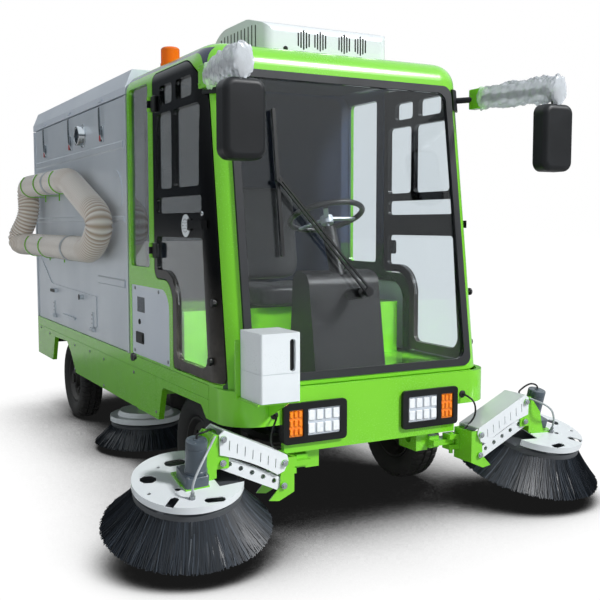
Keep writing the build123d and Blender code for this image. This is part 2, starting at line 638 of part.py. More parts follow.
def leaf_spring(axle):
    """A bowed leaf pack with its two hangers, on one side."""
    low, high = AXLE_SEAT_Z, AXLE_SEAT_Z + SPRING_SAG
    bottom = ThreePointArc((behind(axle - SPRING_HALF), high), (behind(axle), low),
                           (behind(axle + SPRING_HALF), high))
    top = ThreePointArc((behind(axle + SPRING_HALF), high + SPRING_T), (behind(axle), low + SPRING_T),
                        (behind(axle - SPRING_HALF), high + SPRING_T))
    ends = [Line(bottom @ 1, top @ 0), Line(top @ 1, bottom @ 0)]
    pack = extrude(Plane.YZ.offset(SPRING_X - SPRING_W / 2) * make_face([bottom, top, *ends]),
                   amount=SPRING_W)
    for end in (-1, 1):
        y = axle + end * (SPRING_HALF - 14)
        pack += block(SPRING_X - 34, SPRING_X + 34, y - 22, y + 22, high, FRAME_LOW_Z)
    return pack


keep("leaf_springs", *[both(leaf_spring(axle)) for axle in (FRONT_AXLE, REAR_AXLE)])

# Front axle: a forged beam with an upright eye at each end
EYE_R = 27.0
EYE_HALF = 34.0
beam = block(-KINGPIN_X, KINGPIN_X, FRONT_AXLE - 24, FRONT_AXLE + 24, AXLE_Z - 30, AXLE_Z + 30)
beam -= block(-KINGPIN_X + 60, KINGPIN_X - 60, FRONT_AXLE - 25, FRONT_AXLE - 14, AXLE_Z - 18, AXLE_Z + 18)
beam -= block(-KINGPIN_X + 60, KINGPIN_X - 60, FRONT_AXLE + 14, FRONT_AXLE + 25, AXLE_Z - 18, AXLE_Z + 18)
beam += [block(s * SPRING_X - 38, s * SPRING_X + 38, FRONT_AXLE - 45, FRONT_AXLE + 45, AXLE_Z + 30,
               AXLE_SEAT_Z)
         for s in (-1, 1)]
for s in (-1, 1):
    at = Pos(s * KINGPIN_X, behind(FRONT_AXLE), AXLE_Z)
    beam += at * Cylinder(EYE_R, 2 * EYE_HALF)
    beam -= at * Cylinder(KINGPIN_R + KINGPIN_FIT, 2 * EYE_HALF + 2)
parts["front_axle"] = beam

# Knuckle: a fork round the eye, its kingpin, the spindle and the steering arm
SPINDLE_END = 606.0
fork_gap = EYE_HALF + 1.0
ear_t = 16.0


def knuckle():
    """Left knuckle with its kingpin and spindle."""
    at = Pos(KINGPIN_X, behind(FRONT_AXLE), AXLE_Z)
    pin = at * Cylinder(KINGPIN_R, 2 * (fork_gap + ear_t))
    fork = block(KINGPIN_X, KINGPIN_X + 62, FRONT_AXLE - 26, FRONT_AXLE + 26, AXLE_Z - fork_gap - ear_t,
                 AXLE_Z + fork_gap + ear_t)
    fork += at * Cylinder(EYE_R, 2 * (fork_gap + ear_t))
    fork -= at * Cylinder(EYE_R + 6, 2 * fork_gap)
    spindle = rod(SPINDLE_R, (KINGPIN_X + 60, FRONT_AXLE, AXLE_Z), (SPINDLE_END, FRONT_AXLE, AXLE_Z))
    arm = block(KINGPIN_X - 14, KINGPIN_X + 14, FRONT_AXLE + 20, FRONT_AXLE + 130, AXLE_Z - fork_gap - ear_t,
                AXLE_Z - fork_gap - 2)
    return joined(fork, pin, spindle, arm)


parts["knuckle_left"] = knuckle()
parts["knuckle_right"] = mirrored(parts["knuckle_left"])

# Rear axle: tube, differential and the drive motor behind it, with a spindle at each end
rear_axle = rod(32, (-470, REAR_AXLE, AXLE_Z), (470, REAR_AXLE, AXLE_Z))
rear_axle += rod(SPINDLE_R, (-SPINDLE_END, REAR_AXLE, AXLE_Z), (SPINDLE_END, REAR_AXLE, AXLE_Z))
rear_axle += Pos(0, behind(REAR_AXLE), AXLE_Z) * Sphere(98)
rear_axle += rod(82, (0, REAR_AXLE + 40, AXLE_Z + 14), (0, REAR_AXLE + 360, AXLE_Z + 34))
rear_axle += [block(s * SPRING_X - 38, s * SPRING_X + 38, REAR_AXLE - 45, REAR_AXLE + 45, AXLE_Z + 20,
                    AXLE_SEAT_Z)
              for s in (-1, 1)]
parts["rear_axle"] = rear_axle

# Wheels: tyre and rim are turned profiles about the spindle
TYRE_MIDDLE = TYRE_OUTER_X - TYRE_WIDTH / 2
tyre_half = TYRE_WIDTH / 2
# Half profile: across from the middle, radius
TYRE_PROFILE = [(-44, RIM_R), (-60, RIM_R + 14), (-tyre_half, TYRE_R - 58), (-tyre_half + 4, TYRE_R - 26),
                (-tyre_half + 20, TYRE_R - 6), (-30, TYRE_R)]
tyre_outline = TYRE_PROFILE + [(-across, r) for across, r in reversed(TYRE_PROFILE)]
tyre_section = Plane.XZ * make_face(Polyline(*tyre_outline, close=True))
tyre_form = revolve(tyre_section, axis=Axis.X)
rim_profile = [(-52, RIM_R), (52, RIM_R), (52, RIM_R - 9), (30, RIM_R - 26), (30, 60), (58, 54),
               (58, HUB_BORE_R), (-8, HUB_BORE_R), (-8, 54), (18, 60), (18, RIM_R - 30), (-52, RIM_R - 9)]
rim_form = revolve(Plane.XZ * make_face(Polyline(*rim_profile, close=True)), axis=Axis.X)
for k in range(8):
    rim_form -= Rot(k * 45, 0, 0) * Pos(24, 0, 96) * Rot(0, 90, 0) * Cylinder(15, 40)
WHEELS = [("front_left", 1, FRONT_AXLE), ("front_right", -1, FRONT_AXLE), ("rear_left", 1, REAR_AXLE),
          ("rear_right", -1, REAR_AXLE)]
for place, side, axle in WHEELS:
    at = Pos(TYRE_MIDDLE, behind(axle), AXLE_Z)
    for kind, form in (("tyre", tyre_form), ("rim", rim_form)):
        wheel_part = at * form
        parts[f"{kind}_{place}"] = wheel_part if side > 0 else mirrored(wheel_part)

# Hopper: an open-topped box of ribbed sheet with a rear opening, a low side opening and a port
side_x = HALF_WIDTH - RIB_OUT
inner_x = side_x - HOPPER_WALL
hopper = block(-side_x, side_x, HOPPER_FRONT, HOPPER_REAR, HOPPER_LOW_Z, HOPPER_TOP_Z)
hopper -= block(-inner_x, inner_x, HOPPER_FRONT + HOPPER_WALL, HOPPER_REAR - HOPPER_WALL,
                HOPPER_LOW_Z + HOPPER_WALL, HOPPER_TOP_Z + 1)
REAR_OPEN = (HALF_WIDTH - 115.0, 760.0, 1640.0)
FLAP_HINGE_Z = 682.0
flap_low = FLAP_HINGE_Z + KNUCKLE_R + GAP
FLAP_FRONT = 1950.0
FLAP_REAR = 3400.0
FLAP_BEND = FLAP_REAR - 340.0
FLAP_STRAPS = (FLAP_FRONT + 70.0, FLAP_REAR - 420.0)
flap_corners = [(FLAP_FRONT, flap_low, 8), (FLAP_REAR, flap_low, 8), (FLAP_REAR, 1085, 8),
                (FLAP_BEND, 899, 60),
                (FLAP_FRONT, 884, 8)]
flap_inset = 40.0
flap_open = [(FLAP_FRONT + flap_inset, flap_low + flap_inset, 30),
             (FLAP_REAR - flap_inset, flap_low + flap_inset, 30),
             (FLAP_REAR - flap_inset, 990, 30), (FLAP_BEND, 858, 20), (FLAP_FRONT + flap_inset, 844, 30)]
PORT_BEHIND = 2190.0
PORT_Z = 1836.0
PORT_R = 44.0
DUCT_R = 100.0
DUCT_BEHIND = 2270.0
hopper -= block(-REAR_OPEN[0], REAR_OPEN[0], HOPPER_REAR - 60, HOPPER_REAR + 1, REAR_OPEN[1], REAR_OPEN[2])
hopper -= side_prism(flap_open, -side_x - 1, -inner_x + 1)
hopper -= rod(PORT_R, (-side_x - 1, PORT_BEHIND, PORT_Z), (-inner_x + 1, PORT_BEHIND, PORT_Z))
hopper -= rod(DUCT_R, (0, DUCT_BEHIND, HOPPER_LOW_Z - 1), (0, DUCT_BEHIND, HOPPER_LOW_Z + HOPPER_WALL + 1))
# Pressed ribs on both sides: from, to behind, low and high z
RIBS = [(1388, 3463, 1703, 1749), (1388, 3463, 1318, 1354)]
FRONT_RIB = (1388, 1900, 967, 1015)
RIB_SIDES = [(-1, RIBS + [FRONT_RIB]), (1, RIBS + [(1388, 3463, 967, 1015)])]


def rib(side, y0, y1, z0, z1):
    """A pressed rib with bevelled edges that stands out of a hopper side."""
    base = side * (side_x - 1)
    tip = side * HALF_WIDTH
    section = make_face(Polyline((base, z0), (tip, z0 + RIB_OUT), (tip, z1 - RIB_OUT), (base, z1),
                                 close=True))
    plane = Plane(origin=(0, behind(y0), 0), x_dir=(1, 0, 0), z_dir=(0, -1, 0))
    return extrude(plane * section, amount=-(y1 - y0))


for side, rows in RIB_SIDES:
    for row in rows:
        hopper += rib(side, *row)
POST_W = 26.0
for side in (-1, 1):
    x0, x1 = sorted((side * (side_x - 1), side * HALF_WIDTH))
    for y0, y1 in ((HOPPER_FRONT, HOPPER_FRONT + POST_W), (HOPPER_REAR - POST_W, HOPPER_REAR)):
        hopper += block(x0, x1, y0, y1, HOPPER_LOW_Z, HOPPER_TOP_Z)
hatch = [(1420, 1400, 40), (2019, 1400, 40), (2019, 1600, 120), (1420, 1600, 120)]
hopper += side_prism(hatch, -HALF_WIDTH + 3, -side_x + 1)

# Lid: a shallow tray that hinges along the left side
lid_low = HOPPER_TOP_Z + GAP
lid_section = [(-HALF_WIDTH, lid_low, 0), (-HALF_WIDTH, lid_low + LID_SKIRT, 0),
               (-HALF_WIDTH + LID_INSET, lid_low + LID_SKIRT + LID_RISE, 6),
               (HALF_WIDTH - LID_INSET, lid_low + LID_SKIRT + LID_RISE, 6),
               (HALF_WIDTH, lid_low + LID_SKIRT, 0), (HALF_WIDTH, lid_low, 0)]
lid = front_prism(lid_section, HOPPER_FRONT, HOPPER_REAR)
lid_top = lid_low + LID_SKIRT + LID_RISE - LID_WALL
hollow = [(-HALF_WIDTH + LID_WALL, lid_low - 1, 0), (-HALF_WIDTH + LID_WALL, lid_low + LID_SKIRT - 8, 0),
          (-HALF_WIDTH + LID_INSET + LID_WALL, lid_top, 0), (HALF_WIDTH - LID_INSET - LID_WALL, lid_top, 0),
          (HALF_WIDTH - LID_WALL, lid_low + LID_SKIRT - 8, 0), (HALF_WIDTH - LID_WALL, lid_low - 1, 0)]
lid -= front_prism(hollow, HOPPER_FRONT + LID_WALL, HOPPER_REAR - LID_WALL)
LID_HINGES = [1500, 2420, 3340]
lid_hinge_x = HALF_WIDTH + KNUCKLE_R + 2
lid_hinge_z = HOPPER_TOP_Z + GAP / 2
for hinge_behind in LID_HINGES:
    at = Vector(lid_hinge_x, behind(hinge_behind), lid_hinge_z)
    inward = -KNUCKLE_R - 4
    fixed, moving = hinge(at, (0, 1, 0), (inward, 0, -24), (inward, 0, 24), 100)
    fixed += block(side_x - 1, HALF_WIDTH + 2, hinge_behind - 50, hinge_behind + 50, lid_hinge_z - 40,
                   lid_hinge_z - 18)
    hopper = hopper + fixed
    lid = lid + moving
# Catches on the lid, above the toggle latches
LATCHES = [1764, 2456, 3150]
LATCH_LOW_Z = 1768.0
for latch in LATCHES:
    lid += block(-HALF_WIDTH - 12, -HALF_WIDTH + 2, latch - 34, latch + 34, lid_low + 8, lid_low + 20)
parts["hopper_lid"] = lid

# Rear door: hangs from hinges above its opening
rear_hinge = (HOPPER_REAR + GAP + REAR_DOOR_T, 1700.0)
rear_door_top = rear_hinge[1] - KNUCKLE_R - GAP
REAR_DOOR_HALF = HALF_WIDTH - 75.0
REAR_PRESSED_HALF = REAR_DOOR_HALF - 60.0
REAR_DOOR_LOW_Z = 720.0
rear_door = block(-REAR_DOOR_HALF, REAR_DOOR_HALF, HOPPER_REAR + GAP, HOPPER_REAR + GAP + REAR_DOOR_T,
                  REAR_DOOR_LOW_Z, rear_door_top)
rear_face = HOPPER_REAR + GAP + REAR_DOOR_T
for low in (780, 1240):
    rear_door -= block(-REAR_PRESSED_HALF, REAR_PRESSED_HALF, rear_face - 8, rear_face + 1, low, low + 400)
HANDLE_LOW_Z = 742.0
HANDLE_TOP_Z = 764.0
rear_door += block(-150, 150, rear_face + HANDLE_REACH - 14, rear_face + HANDLE_REACH, HANDLE_LOW_Z,
                   HANDLE_TOP_Z)
for x in (-140, 120):
    rear_door += block(x, x + 20, rear_face - 1, rear_face + HANDLE_REACH - 10, HANDLE_LOW_Z, HANDLE_TOP_Z)
for x in (-420, 420):
    at = Vector(x, behind(rear_hinge[0]), rear_hinge[1])
    fixed, moving = hinge(at, (1, 0, 0), (0, -(GAP + REAR_DOOR_T), 34), (0, -6, -24), 90)
    hopper = hopper + fixed
    rear_door = rear_door + moving
parts["rear_door"] = rear_door

# Side flap: two strap hinges at its foot, a turn knob, and a pull handle bolted on as its own piece
FLAP_T = 6.0
flap_axis_x = -(side_x + KNUCKLE_R + 1)
flap = side_prism(flap_corners, -side_x - FACE_GAP - FLAP_T, -side_x - FACE_GAP)
for strap in FLAP_STRAPS:
    at = Vector(flap_axis_x, behind(strap), FLAP_HINGE_Z)
    fixed, moving = hinge(at, (0, 1, 0), (KNUCKLE_R + 3, 0, -14), (KNUCKLE_R - 6, 0, 30), 64)
    strap_plate = block(-side_x - FLAP_T - 6, -side_x - FLAP_T, strap - 14, strap + 14, FLAP_HINGE_Z + 16,
                        786)
    hopper = hopper + fixed
    flap = joined(flap, moving, strap_plate)
GRIP_FRONT = FLAP_REAR - 520.0
GRIP_LONG = 120.0
GRIP_LOW_Z = 846.0
GRIP_TOP_Z = 868.0
FLAP_OUT = 30.0
TURN_KNOB = (FLAP_FRONT + 286.0, 862.0)
FLAP_BOLT = (FLAP_FRONT + 470.0, FLAP_FRONT + 770.0, 700.0, 716.0)
grip_rear = GRIP_FRONT + GRIP_LONG
grip_seat = FLAP_T + 2 * FACE_GAP
grip = block(-side_x - FLAP_OUT, -side_x - 20, GRIP_FRONT, grip_rear, GRIP_LOW_Z, GRIP_TOP_Z)
for grip_end in (GRIP_FRONT, grip_rear - 12):
    grip += block(-side_x - 21, -side_x - grip_seat, grip_end, grip_end + 12, GRIP_LOW_Z, GRIP_TOP_Z)
flap += rod(15, (-side_x - FLAP_T, *TURN_KNOB), (-side_x - FLAP_OUT, *TURN_KNOB))
flap += block(-side_x - 20, -side_x - FLAP_T, *FLAP_BOLT)
keep("side_flap", flap, grip)
parts["hopper_body"] = hopper

# Hopper fittings: the port's collar and three toggle latches
collar = rod(59, (-side_x, PORT_BEHIND, PORT_Z), (-side_x - 42, PORT_BEHIND, PORT_Z))
collar -= rod(PORT_R, (-side_x + 1, PORT_BEHIND, PORT_Z), (-side_x - 43, PORT_BEHIND, PORT_Z))
latches = []
for latch in LATCHES:
    body = block(-HALF_WIDTH - 14, -side_x, latch - 14, latch + 14, LATCH_LOW_Z, LATCH_LOW_Z + 90)
    lever = block(-HALF_WIDTH - 24, -HALF_WIDTH - 12, latch - 10, latch + 10, LATCH_LOW_Z + 10,
                  HOPPER_TOP_Z - 14)
    foot = block(-HALF_WIDTH - 14, -side_x, latch - 22, latch + 22, HOPPER_TOP_Z - 60, HOPPER_TOP_Z - 14)
    latches.append(joined(body, lever, foot))
keep("hopper_fittings", collar, *latches)

# Suction hose: one loop that lies on hooks along the hopper's right side and slumps outwards at
# its rear end. Each corner of its route: x, behind, z, bend radius
HOSE_R = 75.0
HOSE_X = -(HALF_WIDTH + 12 + HOSE_R)
HOSE_HIGH_Z = 1572.0
HOSE_LOW_Z = 1166.0
HOSE_ROUTE = [
    (HOSE_X, 3370, HOSE_HIGH_Z, 95), (HOSE_X, 2180, HOSE_HIGH_Z, 400), (HOSE_X, 1470, 1330, 105),
    (HOSE_X, 1690, HOSE_LOW_Z, 120), (HOSE_X, 3180, HOSE_LOW_Z, 300),
    (HOSE_X - 83, 3430, HOSE_LOW_Z + 2, 88), (HOSE_X, 3280, 1370, 120),
]
hose_path = FilletPolyline(*[(x, behind(y), z) for x, y, z, _ in HOSE_ROUTE],
                           radius=[row[3] for row in HOSE_ROUTE], close=True)
hose_runs = [sweep(Plane(origin=run @ 0, z_dir=run % 0) * Circle(HOSE_R),
                   path=run) for run in hose_path.edges()]
parts["suction_hose"] = joined(*hose_runs)

# Hooks: an open strap round the hose's outer half, on a wall plate. Behind, z of the hose there
HOOKS = [(3200, HOSE_HIGH_Z), (2800, HOSE_HIGH_Z), (2350, HOSE_HIGH_Z), (3110, HOSE_LOW_Z),
         (2700, HOSE_LOW_Z)]
HOOK_W = 14.0
HOOK_T = 5.0
hook_r = HOSE_R + FACE_GAP
hooks = []
for hook_behind, hook_z in HOOKS:
    y0, y1 = hook_behind - HOOK_W / 2, hook_behind + HOOK_W / 2
    ring = rod(hook_r + HOOK_T, (HOSE_X, y0, hook_z), (HOSE_X, y1, hook_z))
    ring -= rod(hook_r, (HOSE_X, y0 - 1, hook_z), (HOSE_X, y1 + 1, hook_z))
    ring -= block(HOSE_X, HOSE_X + 200, y0 - 1, y1 + 1, hook_z - 200, hook_z + 200)
    ring -= block(HOSE_X - 200, HOSE_X, y0 - 1, y1 + 1, hook_z + 0.8 * HOSE_R, hook_z + 200)
    plate = block(-side_x - HOOK_T, -side_x, y0, y1, hook_z - 110, hook_z + 20)
    arm = block(HOSE_X - 1, -side_x, y0, y1, hook_z - hook_r - HOOK_T, hook_z - hook_r)
    hooks.append(joined(ring, plate, arm))
keep("hose_hooks", *hooks)

# Front side brushes. The left one is drawn; the right one is its mirror image. The brush frame has
# its origin on top of the guard disc, with Z along the brush's axis and X away from the vehicle.
brush_frame = Plane(origin=(BRUSH_X, behind(BRUSH_BEHIND), BRUSH_Z), x_dir=(1, 0, 0), z_dir=brush_axis)
arm_run = Vector(ARM_OUT_X - ARM_IN_X, 0, ARM_OUT_Z - ARM_IN_Z)
ARM_SLOTS = 7
ARM_HOLES = 5
SLOT_LONG = 38.0
ARM_SLOT_W = 4.0
ARM_HOLE_R = 10.0
LOWER_ARM_HALF = 26.0
LOWER_ARM_BACK = -36.0
OPEN_FIT = 0.6
CHEEK_T = 6.0
SIDE_CLEAR = 1.0
PIN_HEAD_R = 13.0
arm_length = arm_run.length
web_front = ARM_FRONT
web_back = ARM_BACK
cheek_front = web_front + ARM_T + SIDE_CLEAR
cheek_back = web_back - ARM_T - SIDE_CLEAR
lower_front = cheek_front + CHEEK_T + SIDE_CLEAR


def arm_plane(y, drop=0.0):
    """Plane of an arm's web at y: X from the inner to the outer pivot, Y square to the arm."""
    return Plane(origin=(ARM_IN_X, behind(y), ARM_IN_Z - drop), x_dir=arm_run, z_dir=(0, -1, 0))


def arm_plate(face, y0, y1, drop=0.0):
    """A face in the arm's plane carried back from y0 to y1."""
    return extrude(arm_plane(y0, drop) * face, amount=-(y1 - y0))


def pivot_holes(radius):
    """Two circles at an arm's pivots."""
    return [Pos(along, 0) * Circle(radius) for along in (0, arm_length)]


def upper_arm():
    """Folded channel: two webs with slanted slots under a top plate."""
    outer_low = (arm_length - 14, -61)
    inner_low = (8, -53)
    arch = ThreePointArc(outer_low, (arm_length / 2, -47), inner_low)
    sides = Polyline(inner_low, (-14, -30), (-14, 14), (2, 33), (arm_length + 9, 33), (arm_length + 21, 9),
                     outer_low)
    web = make_face([arch, *sides.edges()])
    for circle in pivot_holes(PIN_R + PIN_FIT):
        web -= circle
    spacing = (arm_length - 72) / (ARM_SLOTS - 1)
    for k in range(ARM_SLOTS):
        web -= Pos(36 + k * spacing, -14) * Rot(0, 0, 68) * SlotOverall(SLOT_LONG, ARM_SLOT_W)
    top = make_face(Polyline((2, 33), (arm_length + 9, 33), (arm_length + 9, 33 - ARM_T), (2, 33 - ARM_T),
                             close=True))
    return joined(arm_plate(web, web_front, web_front + ARM_T), arm_plate(web, web_back - ARM_T, web_back),
                  arm_plate(top, web_front, web_back))


def lower_arm():
    """Channel open at the top: two webs with a row of round holes, on a bottom plate."""
    half = LOWER_ARM_HALF
    end = arm_length + 14
    web = make_face(Polyline((8, -half), (-14, -8), (-14, half), (end, half), (end, -8), (end - 18, -half),
                             close=True))
    web = web - Circle(PIN_R + PIN_FIT) - Pos(arm_length, 0) * Circle(PIN_R + OPEN_FIT)
    spacing = (arm_length - 80) / (ARM_HOLES - 1)
    for k in range(ARM_HOLES):
        web -= Pos(46 + k * spacing, 4) * Circle(ARM_HOLE_R)
    floor_face = make_face(Polyline((8, -half), (end - 18, -half), (end - 18, ARM_T - half),
                                    (8, ARM_T - half), close=True))
    return joined(arm_plate(web, lower_front, lower_front + ARM_T, ARM_SPACING),
                  arm_plate(web, LOWER_ARM_BACK - ARM_T, LOWER_ARM_BACK, ARM_SPACING),
                  arm_plate(floor_face, lower_front, LOWER_ARM_BACK, ARM_SPACING))


def arm_pins(x, z):
    """The two pivot pins of one bracket, with their heads."""
    shapes = []
    for level, reach in ((z, 0), (z - ARM_SPACING, ARM_T + SIDE_CLEAR)):
        front, back = web_front - SIDE_CLEAR + reach, web_back + SIDE_CLEAR - reach
        shapes.append(rod(PIN_R, (x, front, level), (x, back, level)))
        shapes.append(rod(PIN_HEAD_R, (x, front - 6, level), (x, front, level)))
        shapes.append(rod(PIN_HEAD_R, (x, back, level), (x, back + 6, level)))
    return shapes


# Inner bracket on its vertical swing pin, and the link that ties the pin to the rail's end
SWING_X = 424.0
SWING_R = 9.0
BRACKET_X = 452.0


def brush_mount():
    """Left inner bracket with its pins, hinge block and link."""
    cheek = [(BRACKET_X, 236, 0), (BRACKET_X, 378, 0), (510, 378, 14), (516, 262, 0), (564, 213, 0),
             (520, 206, 0)]
    cheeks = [front_prism(cheek, y, y + CHEEK_T) for y in (cheek_front, cheek_back - CHEEK_T)]
    plate = block(BRACKET_X, BRACKET_X + CHEEK_T, cheek_front, cheek_back, 236, 378)
    barrel = block(SWING_X - 28, BRACKET_X + 1, -28, 28, 282, 352)
    barrel -= block(SWING_X - 29, SWING_X + 14, -29, 29, 304, 330)
    barrel += rod(SWING_R, (SWING_X, 0, 260), (SWING_X, 0, 357))
    link = block(RAIL_OUT - 2, SWING_X + 8, -12, 60, 305, 329)
    drop = block(RAIL_IN + 4, RAIL_OUT - 2, 36, 170, 280, FRAME_LOW_Z)
    drop -= rod(22, (RAIL_IN, 100, 330), (RAIL_OUT, 100, 330))
    foot = block(RAIL_OUT - 3, RAIL_OUT + 50, 20, 90, 290, 345)
    return joined(plate, *cheeks, *arm_pins(ARM_IN_X, ARM_IN_Z), barrel, link, foot, drop)


# Head: outer bracket, foot plate on the guard disc, gearbox and motor
GUARD_T = 4.0
GUARD_RIM = 28.0
FOOT_T = 6.0
GEAR_TOP = 46.0
MOTOR_TOP = 178.0
MOTOR_R = 39.0
SHAFT_R = 12.0
HEAD_WEB_X = 794.0


def on_guard(face, low, high):
    """A face in the brush frame's XY carried between two heights along the brush's axis."""
    return extrude(brush_frame.offset(low) * face, amount=high - low)


def turned(profile):
    """A closed (radius, height) profile turned about the brush's axis, in the brush frame."""
    form = revolve(Plane.XZ * make_face(Polyline(*profile, close=True)), axis=Axis.Z)
    return brush_frame * form


def brush_head(side):
    """Left head with its gearbox laid to the rear (1) or to the front (-1) of the brush's axis."""
    cheek = [(738, 370, 0), (738, 497, 20), (HEAD_WEB_X + CHEEK_T, 506, 0), (858, 430, 0), (884, 320, 0),
             (790, 320, 0), (790, 370, 0)]
    bracket = [front_prism(cheek, y, y + CHEEK_T) for y in (cheek_front, cheek_back - CHEEK_T)]
    bracket.append(block(HEAD_WEB_X, HEAD_WEB_X + CHEEK_T, cheek_front, cheek_back, 320, 506))
    bracket = joined(*bracket) - on_guard(Circle(400), -200, FOOT_T / 2)
    foot = Pos(-16, 0) * Rectangle(136, 104) + Pos(-4, side * 36) * Rectangle(96, 116)
    foot_plate = on_guard(foot - Circle(SHAFT_R + 8), 0, FOOT_T)
    gear = Pos(-4, side * 36) * RectangleRounded(90, 112, 10)
    gearbox = on_guard(gear, FOOT_T - 1, GEAR_TOP) - on_guard(Circle(SHAFT_R + PIN_FIT), 0, GEAR_TOP - 8)
    motor_face = Pos(-14, side * 42)
    motor = on_guard(motor_face * Circle(MOTOR_R), GEAR_TOP - 1, MOTOR_TOP)
    motor += on_guard(motor_face * Circle(MOTOR_R + 4), GEAR_TOP - 1, GEAR_TOP + 8)
    groove = motor_face * (Circle(MOTOR_R + 1) - Circle(MOTOR_R - 2))
    motor -= on_guard(groove, MOTOR_TOP - 24, MOTOR_TOP - 20)
    return joined(bracket, foot_plate, gearbox, motor, *arm_pins(ARM_OUT_X, ARM_OUT_Z))


# Guard windows in the brush frame: x, y, length, width, turn in degrees
GUARD_WINDOWS = [(145, 45, 62, 58, 17), (118, -146, 80, 34, -48), (-36, -184, 78, 36, 12),
                 (6, 130, 86, 50, 0)]
GUARD_HOLES = [(175, -56, 8), (80, 116, 7), (66, -66, 12)]
NOTCH = (-230.0, -88.0, -104.0, 34.0)


def brush_guard():
    """Dished white disc with windows and an opening under the arms."""
    inner = GUARD_R - GUARD_T
    disc = turned([(SHAFT_R + 8, 0), (GUARD_R, 0), (GUARD_R, -GUARD_RIM), (inner, -GUARD_RIM),
                   (inner, -GUARD_T),
                   (SHAFT_R + 8, -GUARD_T)])
    x0, x1, y0, y1 = NOTCH
    disc -= on_guard(Pos((x0 + x1) / 2, (y0 + y1) / 2) * Rectangle(x1 - x0, y1 - y0), -GUARD_RIM - 1, 1)
    for x, y, length, width, angle in GUARD_WINDOWS:
        cut = chamfer(Rectangle(length, width).vertices(), 0.28 * width)
        disc -= on_guard(Pos(x, y) * Rot(0, 0, angle) * cut, -GUARD_T - 1, 1)
    for x, y, radius in GUARD_HOLES:
        disc -= on_guard(Pos(x, y) * Circle(radius), -GUARD_T - 1, 1)
    return disc


# Rotor: shaft, carrier ring and the flared skirt of bristles
RING_TOP = -36.0
RING_LOW = -68.0
RING_R = 211.0
BRISTLE_DEPTH = 74.0


def brush_rotor():
    """Carrier on its shaft with the bristles down to their tips."""
    return turned([(0, GEAR_TOP - 12), (SHAFT_R, GEAR_TOP - 12), (SHAFT_R, RING_TOP), (RING_R - 8, RING_TOP),
                   (RING_R, RING_TOP - 8), (RING_R, RING_LOW), (TIP_R, -BRUSH_DROP),
                   (TIP_R - BRISTLE_DEPTH, -BRUSH_DROP), (RING_R - 32, RING_LOW),
                   (RING_R - 32, RING_TOP - 8), (0, RING_TOP - 8)])


guard = brush_guard()
rotor = brush_rotor()
SIDE_PARTS = [("brush_upper_arm", upper_arm()), ("brush_lower_arm", lower_arm()), ("brush_guard", guard),
              ("brush_rotor", rotor)]
for name, shape in SIDE_PARTS:
    parts[f"{name}_left"] = shape
    parts[f"{name}_right"] = mirrored(shape)
parts["brush_head_left"] = brush_head(1)
parts["brush_head_right"] = mirrored(brush_head(-1))

# Level brushes under the floor: hanger and motor, guard, rotor
MID_STEP_R = 150.0
MID_STEP_Z = MID_PLATE_Z + 26.0
MID_RIM_Z = MID_PLATE_Z - 30.0
MID_RING_TOP = MID_RIM_Z - 8.0
mid_at = Pos(MID_X, behind(MID_BEHIND), 0)


def mid_turned(profile):
    """A (radius, z) profile turned about the left level brush's upright axis."""
    return mid_at * revolve(Plane.XZ * make_face(Polyline(*profile, close=True)), axis=Axis.Z)


mid_guard = mid_turned([(20, MID_STEP_Z), (MID_STEP_R, MID_STEP_Z), (MID_STEP_R + 12, MID_PLATE_Z),
                        (MID_GUARD_R, MID_PLATE_Z), (MID_GUARD_R, MID_RIM_Z), (MID_GUARD_R - 4, MID_RIM_Z),
                        (MID_GUARD_R - 4, MID_PLATE_Z - 4), (MID_STEP_R + 8, MID_PLATE_Z - 4),
                        (MID_STEP_R - 4, MID_STEP_Z - 4), (20, MID_STEP_Z - 4)])
keep("mid_guards", both(mid_guard))
mid_rotor = mid_turned([(0, MID_STEP_Z + 30), (SHAFT_R, MID_STEP_Z + 30), (SHAFT_R, MID_RING_TOP),
                        (MID_GUARD_R - 12, MID_RING_TOP), (MID_GUARD_R - 6, MID_RING_TOP - 6),
                        (MID_GUARD_R - 6, MID_RING_TOP - 20), (MID_TIP_R, MID_TIP_Z),
                        (MID_TIP_R - 66, MID_TIP_Z), (MID_GUARD_R - 34, MID_RING_TOP - 20),
                        (MID_GUARD_R - 34, MID_RING_TOP - 8), (0, MID_RING_TOP - 8)])
parts["mid_rotor_left"] = mid_rotor
parts["mid_rotor_right"] = mirrored(mid_rotor)
mid_motor = mid_at * Pos(0, 0, MID_STEP_Z) * Cylinder(42, 110, align=(Align.CENTER, Align.CENTER, Align.MIN))
mid_motor -= mid_at * Pos(0, 0, MID_STEP_Z - 1) * Cylinder(SHAFT_R + PIN_FIT, 36,
                                                           align=(Align.CENTER, Align.CENTER, Align.MIN))
mid_arm = block(RAIL_IN + 8, MID_X, MID_BEHIND - 30, MID_BEHIND + 30, MID_STEP_Z + 80, MID_STEP_Z + 104)
mid_post = block(RAIL_IN + 8, RAIL_OUT - 8, MID_BEHIND - 30, MID_BEHIND + 30, MID_STEP_Z + 80, FRAME_LOW_Z)
mid_mount = joined(mid_motor, mid_arm, mid_post)
keep("brush_mounts", both(brush_mount()), both(mid_mount))

